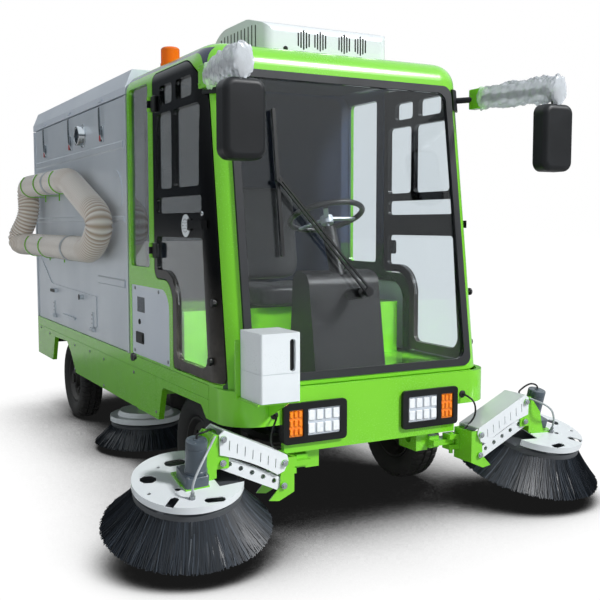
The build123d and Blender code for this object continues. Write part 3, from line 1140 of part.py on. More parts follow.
# Suction nozzle behind the level brushes, with its duct up through the hopper's floor
NOZZLE_HALF = 330.0
NOZZLE_LENGTH = 240.0
NOZZLE_FRONT = DUCT_BEHIND - NOZZLE_LENGTH / 2
NOZZLE_BACK = DUCT_BEHIND + NOZZLE_LENGTH / 2
NOZZLE_LOW_Z = 28.0
NOZZLE_TOP_Z = 120.0
NOZZLE_T = 6.0
nozzle = block(-NOZZLE_HALF, NOZZLE_HALF, NOZZLE_FRONT, NOZZLE_BACK, NOZZLE_LOW_Z, NOZZLE_TOP_Z)
nozzle -= block(-NOZZLE_HALF + NOZZLE_T, NOZZLE_HALF - NOZZLE_T, NOZZLE_FRONT + NOZZLE_T,
                NOZZLE_BACK - NOZZLE_T, NOZZLE_LOW_Z - 1, NOZZLE_TOP_Z - NOZZLE_T)
duct_r = DUCT_R - FACE_GAP
nozzle += rod(duct_r, (0, DUCT_BEHIND, NOZZLE_TOP_Z - NOZZLE_T),
              (0, DUCT_BEHIND, HOPPER_LOW_Z + HOPPER_WALL))
nozzle -= rod(duct_r - NOZZLE_T, (0, DUCT_BEHIND, NOZZLE_LOW_Z),
              (0, DUCT_BEHIND, HOPPER_LOW_Z + HOPPER_WALL + 1))
hanger = block(RAIL_IN + 12, RAIL_OUT - 12, DUCT_BEHIND - 16, DUCT_BEHIND + 16, NOZZLE_TOP_Z - 1,
               FRAME_LOW_Z)
parts["suction_nozzle"] = joined(nozzle, hanger, mirrored(hanger))

os.makedirs("parts", exist_ok=True)
for name, shape in parts.items():
    export_step(shape, f"parts/{name}.step")
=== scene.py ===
"""Dressed model of a small enclosed electric street sweeper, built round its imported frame.

Lengths are metres: X points to the vehicle's left, Y to its rear, Z up. A size called "behind"
is millimetres behind the bumper's front face, as on the vehicle's drawing.
"""
from functools import lru_cache
from math import cos, pi, radians, sin

import bmesh
import bpy
import numpy as np
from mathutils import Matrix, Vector
from mathutils.bvhtree import BVHTree


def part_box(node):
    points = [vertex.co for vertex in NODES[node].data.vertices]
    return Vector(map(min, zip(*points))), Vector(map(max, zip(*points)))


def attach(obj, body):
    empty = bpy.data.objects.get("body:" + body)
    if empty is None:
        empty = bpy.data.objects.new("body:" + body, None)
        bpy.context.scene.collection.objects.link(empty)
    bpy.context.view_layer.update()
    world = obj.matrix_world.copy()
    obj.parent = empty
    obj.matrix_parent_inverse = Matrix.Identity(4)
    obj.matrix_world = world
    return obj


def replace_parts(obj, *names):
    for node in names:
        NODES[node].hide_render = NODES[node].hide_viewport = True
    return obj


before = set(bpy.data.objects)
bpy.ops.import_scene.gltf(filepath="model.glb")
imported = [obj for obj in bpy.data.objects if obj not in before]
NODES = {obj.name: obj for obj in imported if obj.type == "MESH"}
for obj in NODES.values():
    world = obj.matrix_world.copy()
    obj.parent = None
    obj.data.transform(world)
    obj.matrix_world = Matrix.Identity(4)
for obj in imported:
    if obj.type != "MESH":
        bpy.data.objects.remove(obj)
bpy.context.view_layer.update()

bl_info = {
    "name": "Street sweeper dressing",
    "version": (1, 0, 0),
    "blender": (4, 5, 0),
    "location": "3D View > Sidebar > Sweeper",
    "description": "Dresses the packed frame of a street sweeper with tyres, brushes, hose, glass and trim",
    "category": "Object",
}

MM = 0.001
NOSE = -1.62653
HALF_WIDTH = 0.675
STEERING_CENTRE = (0, 420, 1345)
SCREEN_LEAN, SCREEN_PLACE = 0.1405, -1.6602
X, Y, Z = np.eye(3)


def behind(distance):
    """Y of a place this many millimetres behind the bumper's front face."""
    return NOSE + distance * MM


def place(x, back, z):
    """Point from millimetres across, behind the bumper's face and above the ground."""
    return np.array([x * MM, behind(back), z * MM])


def unit(vector):
    """The vector, or each row of an array of vectors, at length one."""
    vector = np.asarray(vector, float)
    return vector / np.linalg.norm(vector, axis=-1, keepdims=True)


def across(axis):
    """Two unit vectors square to an axis and to each other."""
    axis = unit(axis)
    first = unit(np.cross(axis, X if abs(axis[0]) < 0.8 else Y))
    return first, np.cross(axis, first)


# Surfaces: grids of points


def quads(nu, nv, wrap_u=False, wrap_v=False):
    """Four-sided faces between neighbours on an nu by nv grid, closed round where asked."""
    i = np.arange(nu if wrap_u else nu - 1)[:, None]
    j = np.arange(nv if wrap_v else nv - 1)[None, :]
    i2, j2 = (i + 1) % nu, (j + 1) % nv
    return np.stack([i * nv + j, i * nv + j2, i2 * nv + j2, i2 * nv + j], -1).reshape(-1, 4)


class Form:
    """Points and faces of one mesh, gathered grid by grid, with a shade value at each point."""

    def __init__(self):
        self.points, self.faces, self.shades, self.size = [], [], [], 0

    def add(self, grid, wrap_u=False, wrap_v=False, shade=0.0):
        """Adds a grid of points of shape (nu, nv, 3)."""
        nu, nv = grid.shape[:2]
        self.points.append(grid.reshape(-1, 3))
        self.faces.append(quads(nu, nv, wrap_u, wrap_v) + self.size)
        self.shades.append(np.broadcast_to(shade, (nu, nv)).reshape(-1))
        self.size += nu * nv
        return self

    def add_many(self, grids, wrap_u=False, wrap_v=False, shades=None):
        """Adds like grids at once, as an array of shape (count, nu, nv, 3)."""
        count, nu, nv = grids.shape[:3]
        face = quads(nu, nv, wrap_u, wrap_v)
        starts = np.arange(count)[:, None, None] * nu * nv + self.size
        self.points.append(grids.reshape(-1, 3))
        self.faces.append((face[None] + starts).reshape(-1, 4))
        shades = np.zeros(count) if shades is None else shades
        self.shades.append(np.repeat(shades, nu * nv))
        self.size += count * nu * nv
        return self


def turned(profile, origin, axis, count=48):
    """Surface of revolution: each (radius, height) of the profile, in millimetres, runs round the axis."""
    side, other = across(axis)
    radius, height = np.array(profile, float).T * MM
    angle = np.linspace(0, 2 * pi, count, endpoint=False)
    ring = np.cos(angle)[:, None, None] * side + np.sin(angle)[:, None, None] * other
    return origin + ring * radius[None, :, None] + height[None, :, None] * unit(axis)


def slab(outline, origin, u_dir, v_dir, low, high, bevel=1.0):
    """Plate: an outline (millimetres) in the plane of two directions, between two heights, with its
    edges drawn in by the bevel and both faces closed to a point in the middle."""
    outline = np.array(outline, float)
    u_dir, v_dir = unit(u_dir), unit(v_dir)
    w_dir = np.cross(u_dir, v_dir)
    reach = np.linalg.norm(outline, axis=1, keepdims=True)
    drawn = outline * (1 - bevel / np.maximum(reach, 2 * bevel))
    rings = [(outline * 0, low), (drawn, low), (outline, low + bevel), (outline, high - bevel), (drawn, high),
             (outline * 0, high)]
    rows = [ring[:, :1] * u_dir + ring[:, 1:] * v_dir + height * w_dir for ring, height in rings]
    return origin + np.stack(rows, 1) * MM


def rounded(width, height, radius, steps=5):
    """Outline of a rectangle with round corners, about its middle."""
    turn = np.linspace(0, pi / 2, steps)
    corners = []
    for k, (sx, sy) in enumerate(((1, 1), (-1, 1), (-1, -1), (1, -1))):
        angle = turn + k * pi / 2
        corners.append(np.stack([sx * (width / 2 - radius) + radius * np.cos(angle),
                                 sy * (height / 2 - radius) + radius * np.sin(angle)], 1))
    return np.concatenate(corners)


def spline(points, samples=24, closed=False):
    """Quadratic B-spline: between the middles of neighbouring legs each stretch is a parabola
    drawn towards its control point."""
    p = np.array(points, float)
    before, after = (np.roll(p, 1, 0) + p) / 2, (p + np.roll(p, -1, 0)) / 2
    if not closed:
        before[0], after[-1] = p[0], p[-1]
    t = np.linspace(0, 1, samples, endpoint=False)[None, :, None]
    line = (1 - t) ** 2 * before[:, None] + 2 * t * (1 - t) * p[:, None] + t ** 2 * after[:, None]
    line = line.reshape(-1, 3)
    return line if closed else np.concatenate([line, p[-1:]])


def even(line, step, closed=False):
    """Points at even steps along a line."""
    if closed:
        line = np.concatenate([line, line[:1]])
    run = np.concatenate([[0], np.cumsum(np.linalg.norm(np.diff(line, axis=0), axis=1))])
    count = max(int(round(run[-1] / step)), 4)
    at = np.linspace(0, run[-1], count + (0 if closed else 1), endpoint=not closed)
    return np.stack([np.interp(at, run, line[:, k]) for k in range(3)], 1), at, run[-1]


def tube(line, radius, count=12, closed=False, up=X):
    """Round tube: circles carried along a line, all of one radius or each of its own. Each circle's
    first spoke is square to the line and to a fixed direction."""
    line = np.asarray(line, float)
    if closed:
        along = unit(np.roll(line, -1, 0) - np.roll(line, 1, 0))
    else:
        along = unit(np.gradient(line, axis=0))
    spoke = unit(np.cross(along, up))
    other = np.cross(along, spoke)
    angle = np.linspace(0, 2 * pi, count, endpoint=False)
    ring = np.cos(angle)[None, :, None] * spoke[:, None] + np.sin(angle)[None, :, None] * other[:, None]
    grid = line[:, None] + ring * np.broadcast_to(radius, (len(line),))[:, None, None]
    if closed:
        return grid
    caps = [np.repeat(line[:1, None], count, 1), grid, np.repeat(line[-1:, None], count, 1)]
    return np.concatenate(caps)


def padded_block(half, centre, directions, power=0.35, nu=48, nv=40, dent=None):
    """Superellipsoid: sine and cosine of two angles raised to a power below one, so that the sides
    are nearly flat and crowned in the middle. dent(x, y, z) pulls the surface inwards along z."""
    u = np.linspace(0, 2 * pi, nu, endpoint=False)[:, None]
    v = np.linspace(-pi / 2, pi / 2, nv)[None, :]
    bent = lambda value: np.sign(value) * np.abs(value) ** power
    x = bent(np.cos(u)) * bent(np.cos(v)) * half[0]
    y = bent(np.sin(u)) * bent(np.cos(v)) * half[1]
    z = bent(np.sin(v)) * half[2] + 0 * u
    if dent is not None:
        z = z - np.sign(z) * dent(x, y, z)
    a, b, c = [unit(row) for row in directions]
    return np.asarray(centre) + x[..., None] * a + y[..., None] * b + z[..., None] * c


def hexagons(form, places, axis, radius, height, washer=1.35):
    """Hexagon heads on round washers at each place, standing along the axis."""
    side, other = across(axis)
    head = []
    for count, r, low, high in ((18, radius * washer, 0, height * 0.25), (6, radius, height * 0.2, height)):
        angle = np.arange(count) * 2 * pi / count
        outline = np.stack([np.cos(angle), np.sin(angle)], 1) * r
        head.append(slab(outline, np.zeros(3), side, other, low, high, bevel=0.12 * radius))
    for shape in head:
        form.add_many(np.asarray(places, float)[:, None, None] + shape[None], wrap_u=True)
    return form


def piece(name, form, finish, body="chassis", smooth=38):
    """Makes the mesh object of a form, merges its poles, turns its faces outwards and lets it ride."""
    mesh = bpy.data.meshes.new(name)
    points, faces = np.concatenate(form.points), np.concatenate(form.faces)
    mesh.from_pydata(points.tolist(), [], faces.tolist())
    shade = mesh.attributes.new("shade", "FLOAT", "POINT")
    shade.data.foreach_set("value", np.concatenate(form.shades).astype(np.float32))
    work = bmesh.new()
    work.from_mesh(mesh)
    bmesh.ops.remove_doubles(work, verts=work.verts, dist=2e-6)
    bmesh.ops.recalc_face_normals(work, faces=work.faces)
    work.to_mesh(mesh)
    work.free()
    mesh.polygons.foreach_set("use_smooth", [True] * len(mesh.polygons))
    mesh.set_sharp_from_angle(angle=radians(smooth))
    obj = bpy.data.objects.new(name, mesh)
    bpy.context.scene.collection.objects.link(obj)
    mesh.materials.append(material(finish))
    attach(obj, body)
    return obj


# Materials


def linear(red, green, blue):
    """Shader colour from a colour written as 0 to 255."""
    value = np.array([red, green, blue]) / 255
    return tuple(np.where(value <= 0.04045, value / 12.92, ((value + 0.055) / 1.055) ** 2.4)) + (1.0,)


def node(tree, kind, inputs=(), **settings):
    """Adds a shader node: keywords set its properties, and inputs pairs each of its inputs, by label
    or number, with a value or with the output that feeds it."""
    made = tree.nodes.new("ShaderNode" + kind)
    for key, value in settings.items():
        setattr(made, key, value)
    for key, value in dict(inputs).items():
        if isinstance(value, bpy.types.NodeSocket):
            tree.links.new(made.inputs[key], value)
        else:
            made.inputs[key].default_value = value
    return made


def compute(tree, operation, first, second=0.0, clamp=False):
    """Result of a sum on two numbers or outputs."""
    return node(tree, "Math", {0: first, 1: second}, operation=operation, use_clamp=clamp).outputs[0]


def ranged(tree, value, start, end, low=0.0, high=1.0, smooth=False):
    """Value carried from one range to another, with a soft start and end where asked."""
    ends = {"From Min": start, "From Max": end, "To Min": low, "To Max": high}
    kind = "SMOOTHSTEP" if smooth else "LINEAR"
    return node(tree, "MapRange", {"Value": value, **ends}, interpolation_type=kind).outputs["Result"]


def blend(tree, factor, low, high):
    """Colour between two colours."""
    return node(tree, "Mix", {"Factor": factor, 6: low, 7: high}, data_type="RGBA").outputs[2]


def beyond(tree, value, edge, low, high):
    """Colour that changes from one to another where a value passes an edge."""
    return blend(tree, compute(tree, "GREATER_THAN", value, edge), low, high)


def object_place(tree):
    """Place of the shaded point in its object."""
    return node(tree, "TexCoord").outputs["Object"]


def coordinate(tree, axis):
    """One coordinate of the shaded point in its object."""
    return node(tree, "SeparateXYZ", {"Vector": object_place(tree)}).outputs[axis]


def off_centre(tree):
    """Distance of the shaded point from the vehicle's middle plane."""
    return compute(tree, "ABSOLUTE", coordinate(tree, "X"))


def new_group(name, inputs, outputs):
    """Empty shader group. Inputs pair labels with default values, outputs pair labels with kinds of
    socket. Returns the group, the sockets that it reads and those that it feeds."""
    group = bpy.data.node_groups.new(name, "ShaderNodeTree")
    for label, value in inputs.items():
        kind = "Float" if isinstance(value, float) else {3: "Vector", 4: "Color"}[len(value)]
        socket = group.interface.new_socket(label, in_out="INPUT", socket_type="NodeSocket" + kind)
        socket.default_value = value
    for label, kind in outputs.items():
        group.interface.new_socket(label, in_out="OUTPUT", socket_type="NodeSocket" + kind)
    return group, group.nodes.new("NodeGroupInput").outputs, group.nodes.new("NodeGroupOutput").inputs


WHITE = (1, 1, 1, 1)


@lru_cache
def variation_group():
    """Two sizes of noise that shift a colour towards a tint and vary the roughness."""
    group, given, out = new_group(
        "surface_variation",
        {"Color": WHITE, "Tint": (0, 0, 0, 1), "Scale": 4.0, "Amount": 0.2, "Roughness": 0.4, "Spread": 0.1},
        {"Color": "Color", "Roughness": "Float"})
    where = object_place(group)
    broad = node(group, "TexNoise", {"Vector": where, "Scale": given["Scale"], "Detail": 5.0}).outputs["Fac"]
    fine = node(group, "TexNoise", {"Vector": where, "Scale": 160.0, "Detail": 3.0}).outputs["Fac"]
    share = compute(group, "MULTIPLY", ranged(group, broad, 0.42, 0.72), given["Amount"])
    swing = compute(group, "SUBTRACT", compute(group, "ADD", fine, broad), 1.0)
    scaled = compute(group, "MULTIPLY", swing, given["Spread"])
    group.links.new(out["Color"], blend(group, share, given["Color"], given["Tint"]))
    group.links.new(out["Roughness"], compute(group, "ADD", scaled, given["Roughness"], clamp=True))
    return group


@lru_cache
def dust_group():
    """Road dust: a tint that grows towards the ground and breaks up with noise."""
    group, given, out = new_group(
        "road_dust", {"Color": WHITE, "Dust": linear(134, 127, 118), "Top": 0.6, "Amount": 0.5},
        {"Color": "Color"})
    noise = node(group, "TexNoise", {"Vector": object_place(group), "Scale": 9.0, "Detail": 8.0,
                                     "Roughness": 0.65})
    fall = ranged(group, coordinate(group, "Z"), given["Top"], 0.0)
    patch = compute(group, "MULTIPLY", fall, noise.outputs["Fac"])
    share = compute(group, "MULTIPLY", patch, given["Amount"], clamp=True)
    group.links.new(out["Color"], blend(group, share, given["Color"], given["Dust"]))
    return group


@lru_cache
def grain_group():
    """Fine grain as a height: noise stretched by the given vector, for bump."""
    group, given, out = new_group("fine_grain", {"Stretch": (1, 1, 1), "Scale": 200.0}, {"Height": "Float"})
    drawn = node(group, "VectorMath", {0: object_place(group), 1: given["Stretch"]}, operation="MULTIPLY")
    noise = node(group, "TexNoise", {"Vector": drawn.outputs[0], "Scale": given["Scale"], "Detail": 4.0})
    group.links.new(out["Height"], noise.outputs["Fac"])
    return group


def grained(tree, scale, stretch=(1, 1, 1)):
    """Height of the fine grain at a scale."""
    grain = node(tree, "Group", {"Stretch": stretch, "Scale": scale}, node_tree=grain_group())
    return grain.outputs["Height"]


def blank(name, sockets=()):
    """New material with its shader's sockets set by label; returns it with its tree and its shader."""
    made = bpy.data.materials.new(name)
    made.use_nodes = True
    shader = made.node_tree.nodes["Principled BSDF"]
    for label, value in dict(sockets).items():
        shader.inputs[label].default_value = value
    return made, made.node_tree, shader


def bumped(tree, shader, scale, depth_mm, stretch=(1, 1, 1)):
    """Fine grain on a surface, as bump of a depth in millimetres."""
    bump = node(tree, "Bump", {"Height": grained(tree, scale, stretch), "Strength": 1.0,
                               "Distance": depth_mm * MM})
    tree.links.new(shader.inputs["Normal"], bump.outputs["Normal"])


DULL, COATED, CLEAR_COAT = {"Specular IOR Level": 0.35}, "Coat Weight", "Coat Roughness"
BARE_METAL = {"Metallic": 1.0}
STRETCHED = {"hopper_sheet": (1, 26, 1)}
# Finish: colour, tint, noise scale, amount, roughness, spread, grain scale, bump in millimetres, dust
# (its top and amount), then the shader's own sockets
FINISHES = {
    "green_paint": ((122, 208, 36), (100, 186, 26), 2.2, 0.25, 0.26, 0.08, 90, 0.010, (0.62, 0.15),
                    {COATED: 0.5, CLEAR_COAT: 0.10}),
    "white_paint": ((226, 231, 234), (196, 203, 209), 3.0, 0.30, 0.32, 0.12, 120, 0.010, (0.5, 0.12),
                    {COATED: 0.25, CLEAR_COAT: 0.2}),
    "panel_white": ((208, 216, 226), (184, 193, 206), 2.0, 0.30, 0.36, 0.10, 120, 0.008, (0.9, 0.08), {}),
    "hopper_sheet": ((216, 223, 230), (182, 192, 202), 1.6, 0.50, 0.34, 0.16, 22, 0.012, (1.0, 0.15),
                     {"Metallic": 0.35}),
    "frame_black": ((24, 25, 27), (46, 45, 43), 5.0, 0.40, 0.5, 0.2, 160, 0.05, (0.62, 0.20), {}),
    "axle_iron": ((36, 36, 37), (62, 57, 52), 8.0, 0.50, 0.6, 0.2, 220, 0.10, (0.6, 0.25), {"Metallic": 0.4}),
    "rim_paint": ((32, 32, 34), (60, 56, 52), 9.0, 0.5, 0.45, 0.2, 180, 0.04, (0.5, 0.30), {"Metallic": 0.3}),
    "tyre_rubber": ((21, 22, 24), (38, 38, 39), 10.0, 0.5, 0.72, 0.16, 420, 0.10, (0.5, 0.22), {}),
    "seal_rubber": ((36, 38, 42), (24, 25, 28), 6.0, 0.5, 0.55, 0.15, 300, 0.02, None, DULL),
    "black_plastic": ((16, 17, 19), (28, 30, 33), 7.0, 0.4, 0.42, 0.14, 520, 0.03, None, DULL),
    "mirror_plastic": ((15, 17, 20), (28, 31, 36), 7.0, 0.4, 0.46, 0.14, 700, 0.05, None,
                       {"Specular IOR Level": 0.40}),
    "door_print": ((7, 8, 10), (15, 15, 15), 2.5, 0.6, 0.16, 0.06, 40, 0.004, (1.1, 1.2),
                   {"Specular IOR Level": 0.25}),
    "white_plastic": ((224, 230, 233), (200, 207, 213), 3.5, 0.3, 0.30, 0.10, 260, 0.010, None,
                      {COATED: 0.2, CLEAR_COAT: 0.2}),
    # The lining's dark navy is partly its own colour and partly painted shade inside the cab.
    "lining": ((20, 29, 46), (14, 20, 32), 3.0, 0.5, 0.8, 0.1, 500, 0.01, None, {"Specular IOR Level": 0.2}),
    "console_black": ((9, 9, 10), (18, 18, 20), 6.0, 0.4, 0.45, 0.1, 500, 0.004, None,
                      {"Specular IOR Level": 0.3}),
    "seat_vinyl": ((22, 23, 26), (38, 40, 44), 12.0, 0.4, 0.48, 0.14, 420, 0.006, None,
                   {"Sheen Weight": 0.1}),
    "motor_grey": ((72, 83, 93), (54, 63, 72), 6.0, 0.4, 0.34, 0.12, 150, 0.015, None,
                   {COATED: 0.3, CLEAR_COAT: 0.15}),
    "ring_grey": ((70, 73, 77), (52, 54, 58), 12.0, 0.4, 0.45, 0.12, 220, 0.03, None, {}),
    "steel": ((150, 154, 158), (112, 114, 116), 14.0, 0.5, 0.32, 0.16, 300, 0.012, (0.5, 0.1), BARE_METAL),
    "chrome": ((205, 210, 214), (170, 176, 182), 14.0, 0.3, 0.12, 0.08, 200, 0.003, None, BARE_METAL),
    "mirror_glass": ((215, 220, 224), (200, 206, 212), 6.0, 0.2, 0.03, 0.02, 60, 0.002, None, BARE_METAL),
    "cable_black": ((15, 16, 17), (30, 30, 32), 9.0, 0.4, 0.5, 0.1, 300, 0.010, None, {}),
    "pipe_grey": ((168, 174, 178), (130, 136, 140), 9.0, 0.4, 0.35, 0.1, 300, 0.010, None, {}),
    "red_grip": ((190, 34, 26), (150, 24, 20), 12.0, 0.4, 0.4, 0.1, 260, 0.010, None, {}),
    "shadow_slot": ((12, 13, 14), (26, 27, 28), 12.0, 0.4, 0.8, 0.1, 260, 0.010, None, {}),
    "led_white": ((240, 243, 246), (205, 212, 220), 60.0, 0.4, 0.12, 0.08, 200, 0.005, None,
                  {COATED: 0.8, CLEAR_COAT: 0.05}),
    "led_amber": ((250, 140, 10), (226, 96, 0), 60.0, 0.4, 0.14, 0.08, 200, 0.005, None,
                  {COATED: 0.8, CLEAR_COAT: 0.05}),
    "battery_case": ((34, 35, 38), (56, 57, 60), 6.0, 0.4, 0.5, 0.1, 300, 0.03, None, {}),
}
# Clear plastic: colour, colour of its crests (on the hose a painted highlight), roughness, transmission,
# grain scale, bump in millimetres
CLEAR = {
    "beacon_plastic": ((255, 122, 12), (255, 122, 12), 0.12, 0.35, 14.0, 0.05),
    "hose_plastic": ((196, 178, 158), (252, 248, 242), 0.16, 0.25, 24.0, 0.1),
    "bubble_film": ((232, 237, 242), (255, 255, 255), 0.20, 0.45, 160.0, 0.8),
}


def finish_material(name):
    """One material of the table: the shared groups feed its colour, roughness and bump."""
    color, tint, scale, amount, rough, spread, grain, bump_mm, dust, sockets = FINISHES[name]
    material, tree, shader = blank(name, sockets)
    varied = {"Color": linear(*color), "Tint": linear(*tint), "Scale": scale, "Amount": amount,
              "Roughness": rough, "Spread": spread}
    vary = node(tree, "Group", varied, node_tree=variation_group(), name="finish")
    result = vary.outputs["Color"]
    if dust:
        dusty = {"Color": result, "Top": dust[0], "Amount": dust[1]}
        result = node(tree, "Group", dusty, node_tree=dust_group()).outputs["Color"]
    tree.links.new(shader.inputs["Base Color"], result)
    tree.links.new(shader.inputs["Roughness"], vary.outputs["Roughness"])
    bumped(tree, shader, grain, bump_mm, STRETCHED.get(name, (1, 1, 1)))
    return material


def clear_material(name):
    """See-through plastic; points of high shade value take the second colour, which on the hose's rib crests
    is a painted highlight.
    """
    color, painted_crest_highlight, roughness, transmission, grain, bump_mm = CLEAR[name]
    sockets = {"Roughness": roughness, "Transmission Weight": transmission, "IOR": 1.4}
    material, tree, shader = blank(name, sockets)
    shade = node(tree, "Attribute", attribute_name="shade").outputs["Fac"]
    tree.links.new(shader.inputs["Base Color"], blend(tree, shade, linear(*color), linear(*painted_crest_highlight)))
    bumped(tree, shader, grain, bump_mm)
    return material


def tinted_glass():
    """Flat glass, lightly tinted in front and a little darker in the doors and quarter panes."""
    sockets = {"Transmission Weight": 1.0, "IOR": 1.45, "Specular IOR Level": 0.3}
    material, tree, shader = blank("tinted_glass", sockets)
    flank = 0.6
    tint = beyond(tree, off_centre(tree), flank, linear(238, 243, 246), linear(230, 236, 239))
    tint.node.name = "finish"
    smear = ranged(tree, grained(tree, 9.0, (1, 1, 0.25)), 0.0, 1.0, 0.0, 0.03)
    tree.links.new(shader.inputs["Base Color"], tint)
    tree.links.new(shader.inputs["Roughness"], smear)
    return material


def cab_paint():
    """Body paint outside, with painted shade on the inner faces of the cab's posts, rails and roof: dark
    green below the sill, dark blue above it.
    """
    material = finish_material("green_paint")
    material.name = "cab_paint"
    tree = material.node_tree
    base = tree.nodes["Principled BSDF"].inputs["Base Color"]
    outside = base.links[0].from_socket
    lean = {0: object_place(tree), 1: (0, 1, -SCREEN_LEAN)}
    depth = node(tree, "VectorMath", lean, operation="DOT_PRODUCT").outputs["Value"]
    sill, roof, flank, post = 1.2, 2.05, 0.655, 0.055
    # Painted shade: dark copies of the body colour inside the cab, dark green below the sill and dark blue
    # above it.
    inner = beyond(tree, coordinate(tree, "Z"), sill, linear(22, 66, 22), linear(24, 40, 66))
    inner = beyond(tree, coordinate(tree, "Z"), roof, inner, outside)
    inner = beyond(tree, off_centre(tree), flank, inner, outside)
    tree.links.new(base, beyond(tree, depth, SCREEN_PLACE + post, outside, inner))
    return material


def wheel_plastic():
    """Steering wheel: bright hub and spokes inside a black rim with its knob."""
    material, tree, shader = blank("wheel_plastic", {"Roughness": 0.35})
    ends = {0: object_place(tree), 1: place(*STEERING_CENTRE)}
    reach = node(tree, "VectorMath", ends, operation="DISTANCE").outputs["Value"]
    rim = 0.152
    color = beyond(tree, reach, rim, linear(150, 156, 164), linear(13, 14, 16))
    tree.links.new(shader.inputs["Base Color"], color)
    bumped(tree, shader, 500.0, 0.03)
    return material


def lens_plastic():
    """Lamp lenses: clear inside, amber outside, red at the tail, with a moulded grid."""
    sockets = {"Roughness": 0.12, COATED: 1.0, CLEAR_COAT: 0.03}
    material, tree, shader = blank("lens_plastic", sockets)
    indicators, tail = 0.345, 1.0
    front = beyond(tree, off_centre(tree), indicators, linear(196, 204, 214), linear(246, 132, 10))
    color = beyond(tree, coordinate(tree, "Y"), tail, front, linear(176, 22, 16))
    tree.links.new(shader.inputs["Base Color"], color)
    bumped(tree, shader, 110.0, 0.15)
    return material


def bristle_plastic():
    """Dark polymer bristles: each strand has its own shade, with pale flecks near the tips."""
    material, tree, shader = blank("bristle_plastic")
    ramp = node(tree, "ValToRGB", {"Fac": node(tree, "Attribute", attribute_name="shade").outputs["Fac"]})
    stops = [(0.0, (14, 17, 22)), (0.55, (34, 41, 50)), (0.88, (62, 70, 80)), (1.0, (150, 152, 150))]
    for k, (at, color) in enumerate(stops):
        stop = ramp.color_ramp.elements[k] if k < 2 else ramp.color_ramp.elements.new(at)
        stop.position, stop.color = at, linear(*color)
    tree.links.new(shader.inputs["Base Color"], ramp.outputs["Color"])
    tree.links.new(shader.inputs["Roughness"], ranged(tree, grained(tree, 300.0), 0.0, 1.0, 0.28, 0.6))
    return material


SPECIAL = {build.__name__: build
           for build in (tinted_glass, cab_paint, wheel_plastic, lens_plastic, bristle_plastic)}


@lru_cache(maxsize=None)
def material(name):
    """A finished material by name, made the first time it is asked for."""
    if name in SPECIAL:
        return SPECIAL[name]()
    return clear_material(name) if name in CLEAR else finish_material(name)


# Frames of the brushes


def brush_frame(side):
    """Origin on top of a side brush's guard and its three directions; side is 1 left, -1 right."""
    spread, lean = radians(3.5), radians(13.7)
    axis = unit((side * sin(spread), -sin(lean) * cos(spread), cos(lean) * cos(spread)))
    out = unit(np.array((side, 0, 0)) - axis * side * axis[0])
    back = unit(Y - axis * axis[1] - out * out[1])
    return place(side * 887, -62, 339), out, back, axis


def on_brush(side, x, y, z):
    """Point of a side brush's frame, in millimetres outwards, rearwards and up its axis."""
    origin, out, back, axis = brush_frame(side)
    return origin + (x * out + y * back + z * axis) * MM


SIDES = (("left", 1), ("right", -1))


def sided(side, *rows):
    """Points from rows of millimetres (outwards, behind, up) on one side of the vehicle."""
    return [place(side * x, back, z) for x, back, z in rows]


# Seating on the frame


def seat_on(name, points, direction, depth=0.0):
    """Moves points along a direction until they meet a node's surface, then in by a depth."""
    mesh = NODES[name].data
    tree = BVHTree.FromPolygons([v.co for v in mesh.vertices], [tuple(p.vertices) for p in mesh.polygons])
    seated = []
    for point, way in zip(points, np.broadcast_to(direction, (len(points), 3))):
        hit = tree.ray_cast(Vector(point), Vector(unit(way)))[0]
        seated.append(np.array(hit if hit is not None else point) + unit(way) * depth)
    return np.array(seated)


def dots(form, places, axis, radius, height, count=20):
    """Low domed round heads: quarter-ellipse profiles turned about the axis at each place."""
    angle = np.linspace(0, pi / 2, 5)
    dome = [(radius * cos(a), height * (0.4 + 0.6 * sin(a))) for a in angle[:-1]]
    profile = [(0, 0), (radius, 0)] + dome + [(0, height)]
    shape = turned(profile, np.zeros(3), axis, count)
    return form.add_many(np.asarray(places, float)[:, None, None] + shape[None], wrap_u=True)


def knob(form, at, axis, radius, height):
    """Ribbed turn knob: a waisted profile about the axis, with its radius waved round the rim."""
    waist = [(0, 0), (0.7, 0), (0.7, 0.3), (1, 0.4), (1, 0.9), (0.9, 1), (0, 1)]
    shape = turned([(radius * r, height * h) for r, h in waist], np.zeros(3), axis, 64)
    angle = np.linspace(0, 2 * pi, 64, endpoint=False)
    wave = 1 + 0.03 * np.cos(angle * 16)
    along = shape @ unit(axis)
    flat = shape - along[..., None] * unit(axis)
    form.add(at + flat * wave[:, None, None] + along[..., None] * unit(axis), wrap_u=True)


def side_slab(form, side, outline, centre, low, high, bevel=1.0):
    """Plate lying on the vehicle's side: outline in millimetres rearwards and up, about a centre
    (x, behind, z), between two heights outwards."""
    form.add(slab(outline, sided(side, centre)[0], Y * side, Z, low, high, bevel), True)


# Settings


def length_setting(name, description, default, low, high):
    """Setting of a length in metres."""
    return bpy.props.FloatProperty(name=name, description=description, default=default, min=low, max=high,
                                   unit="LENGTH")


def count_setting(name, description, default, low, high):
    """Setting of a whole number."""
    return bpy.props.IntProperty(name=name, description=description, default=default, min=low, max=high)


def color_setting(name, description, default):
    """Setting of a colour, given as 0 to 255."""
    return bpy.props.FloatVectorProperty(name=name, description=description, subtype="COLOR",
                                         default=linear(*default)[:3], min=0.0, max=1.0)


class SweeperTyres(bpy.types.PropertyGroup):
    """Tread of the four tyres."""
    tread_depth: length_setting("Tread depth", "Depth of the tread's grooves", 0.009, 0.0, 0.02)
    blocks: count_setting("Tread blocks", "Blocks round each tyre", 44, 12, 80)


class SweeperBristles(bpy.types.PropertyGroup):
    """Strands of the four brushes."""
    strands: count_setting("Strands", "Strands on each front side brush", 2600, 200, 6000)
    level_strands: count_setting("Level strands", "Strands on each brush under the floor", 1200, 100, 4000)
    thickness: length_setting("Thickness", "Width of one strand", 0.0042, 0.001, 0.01)


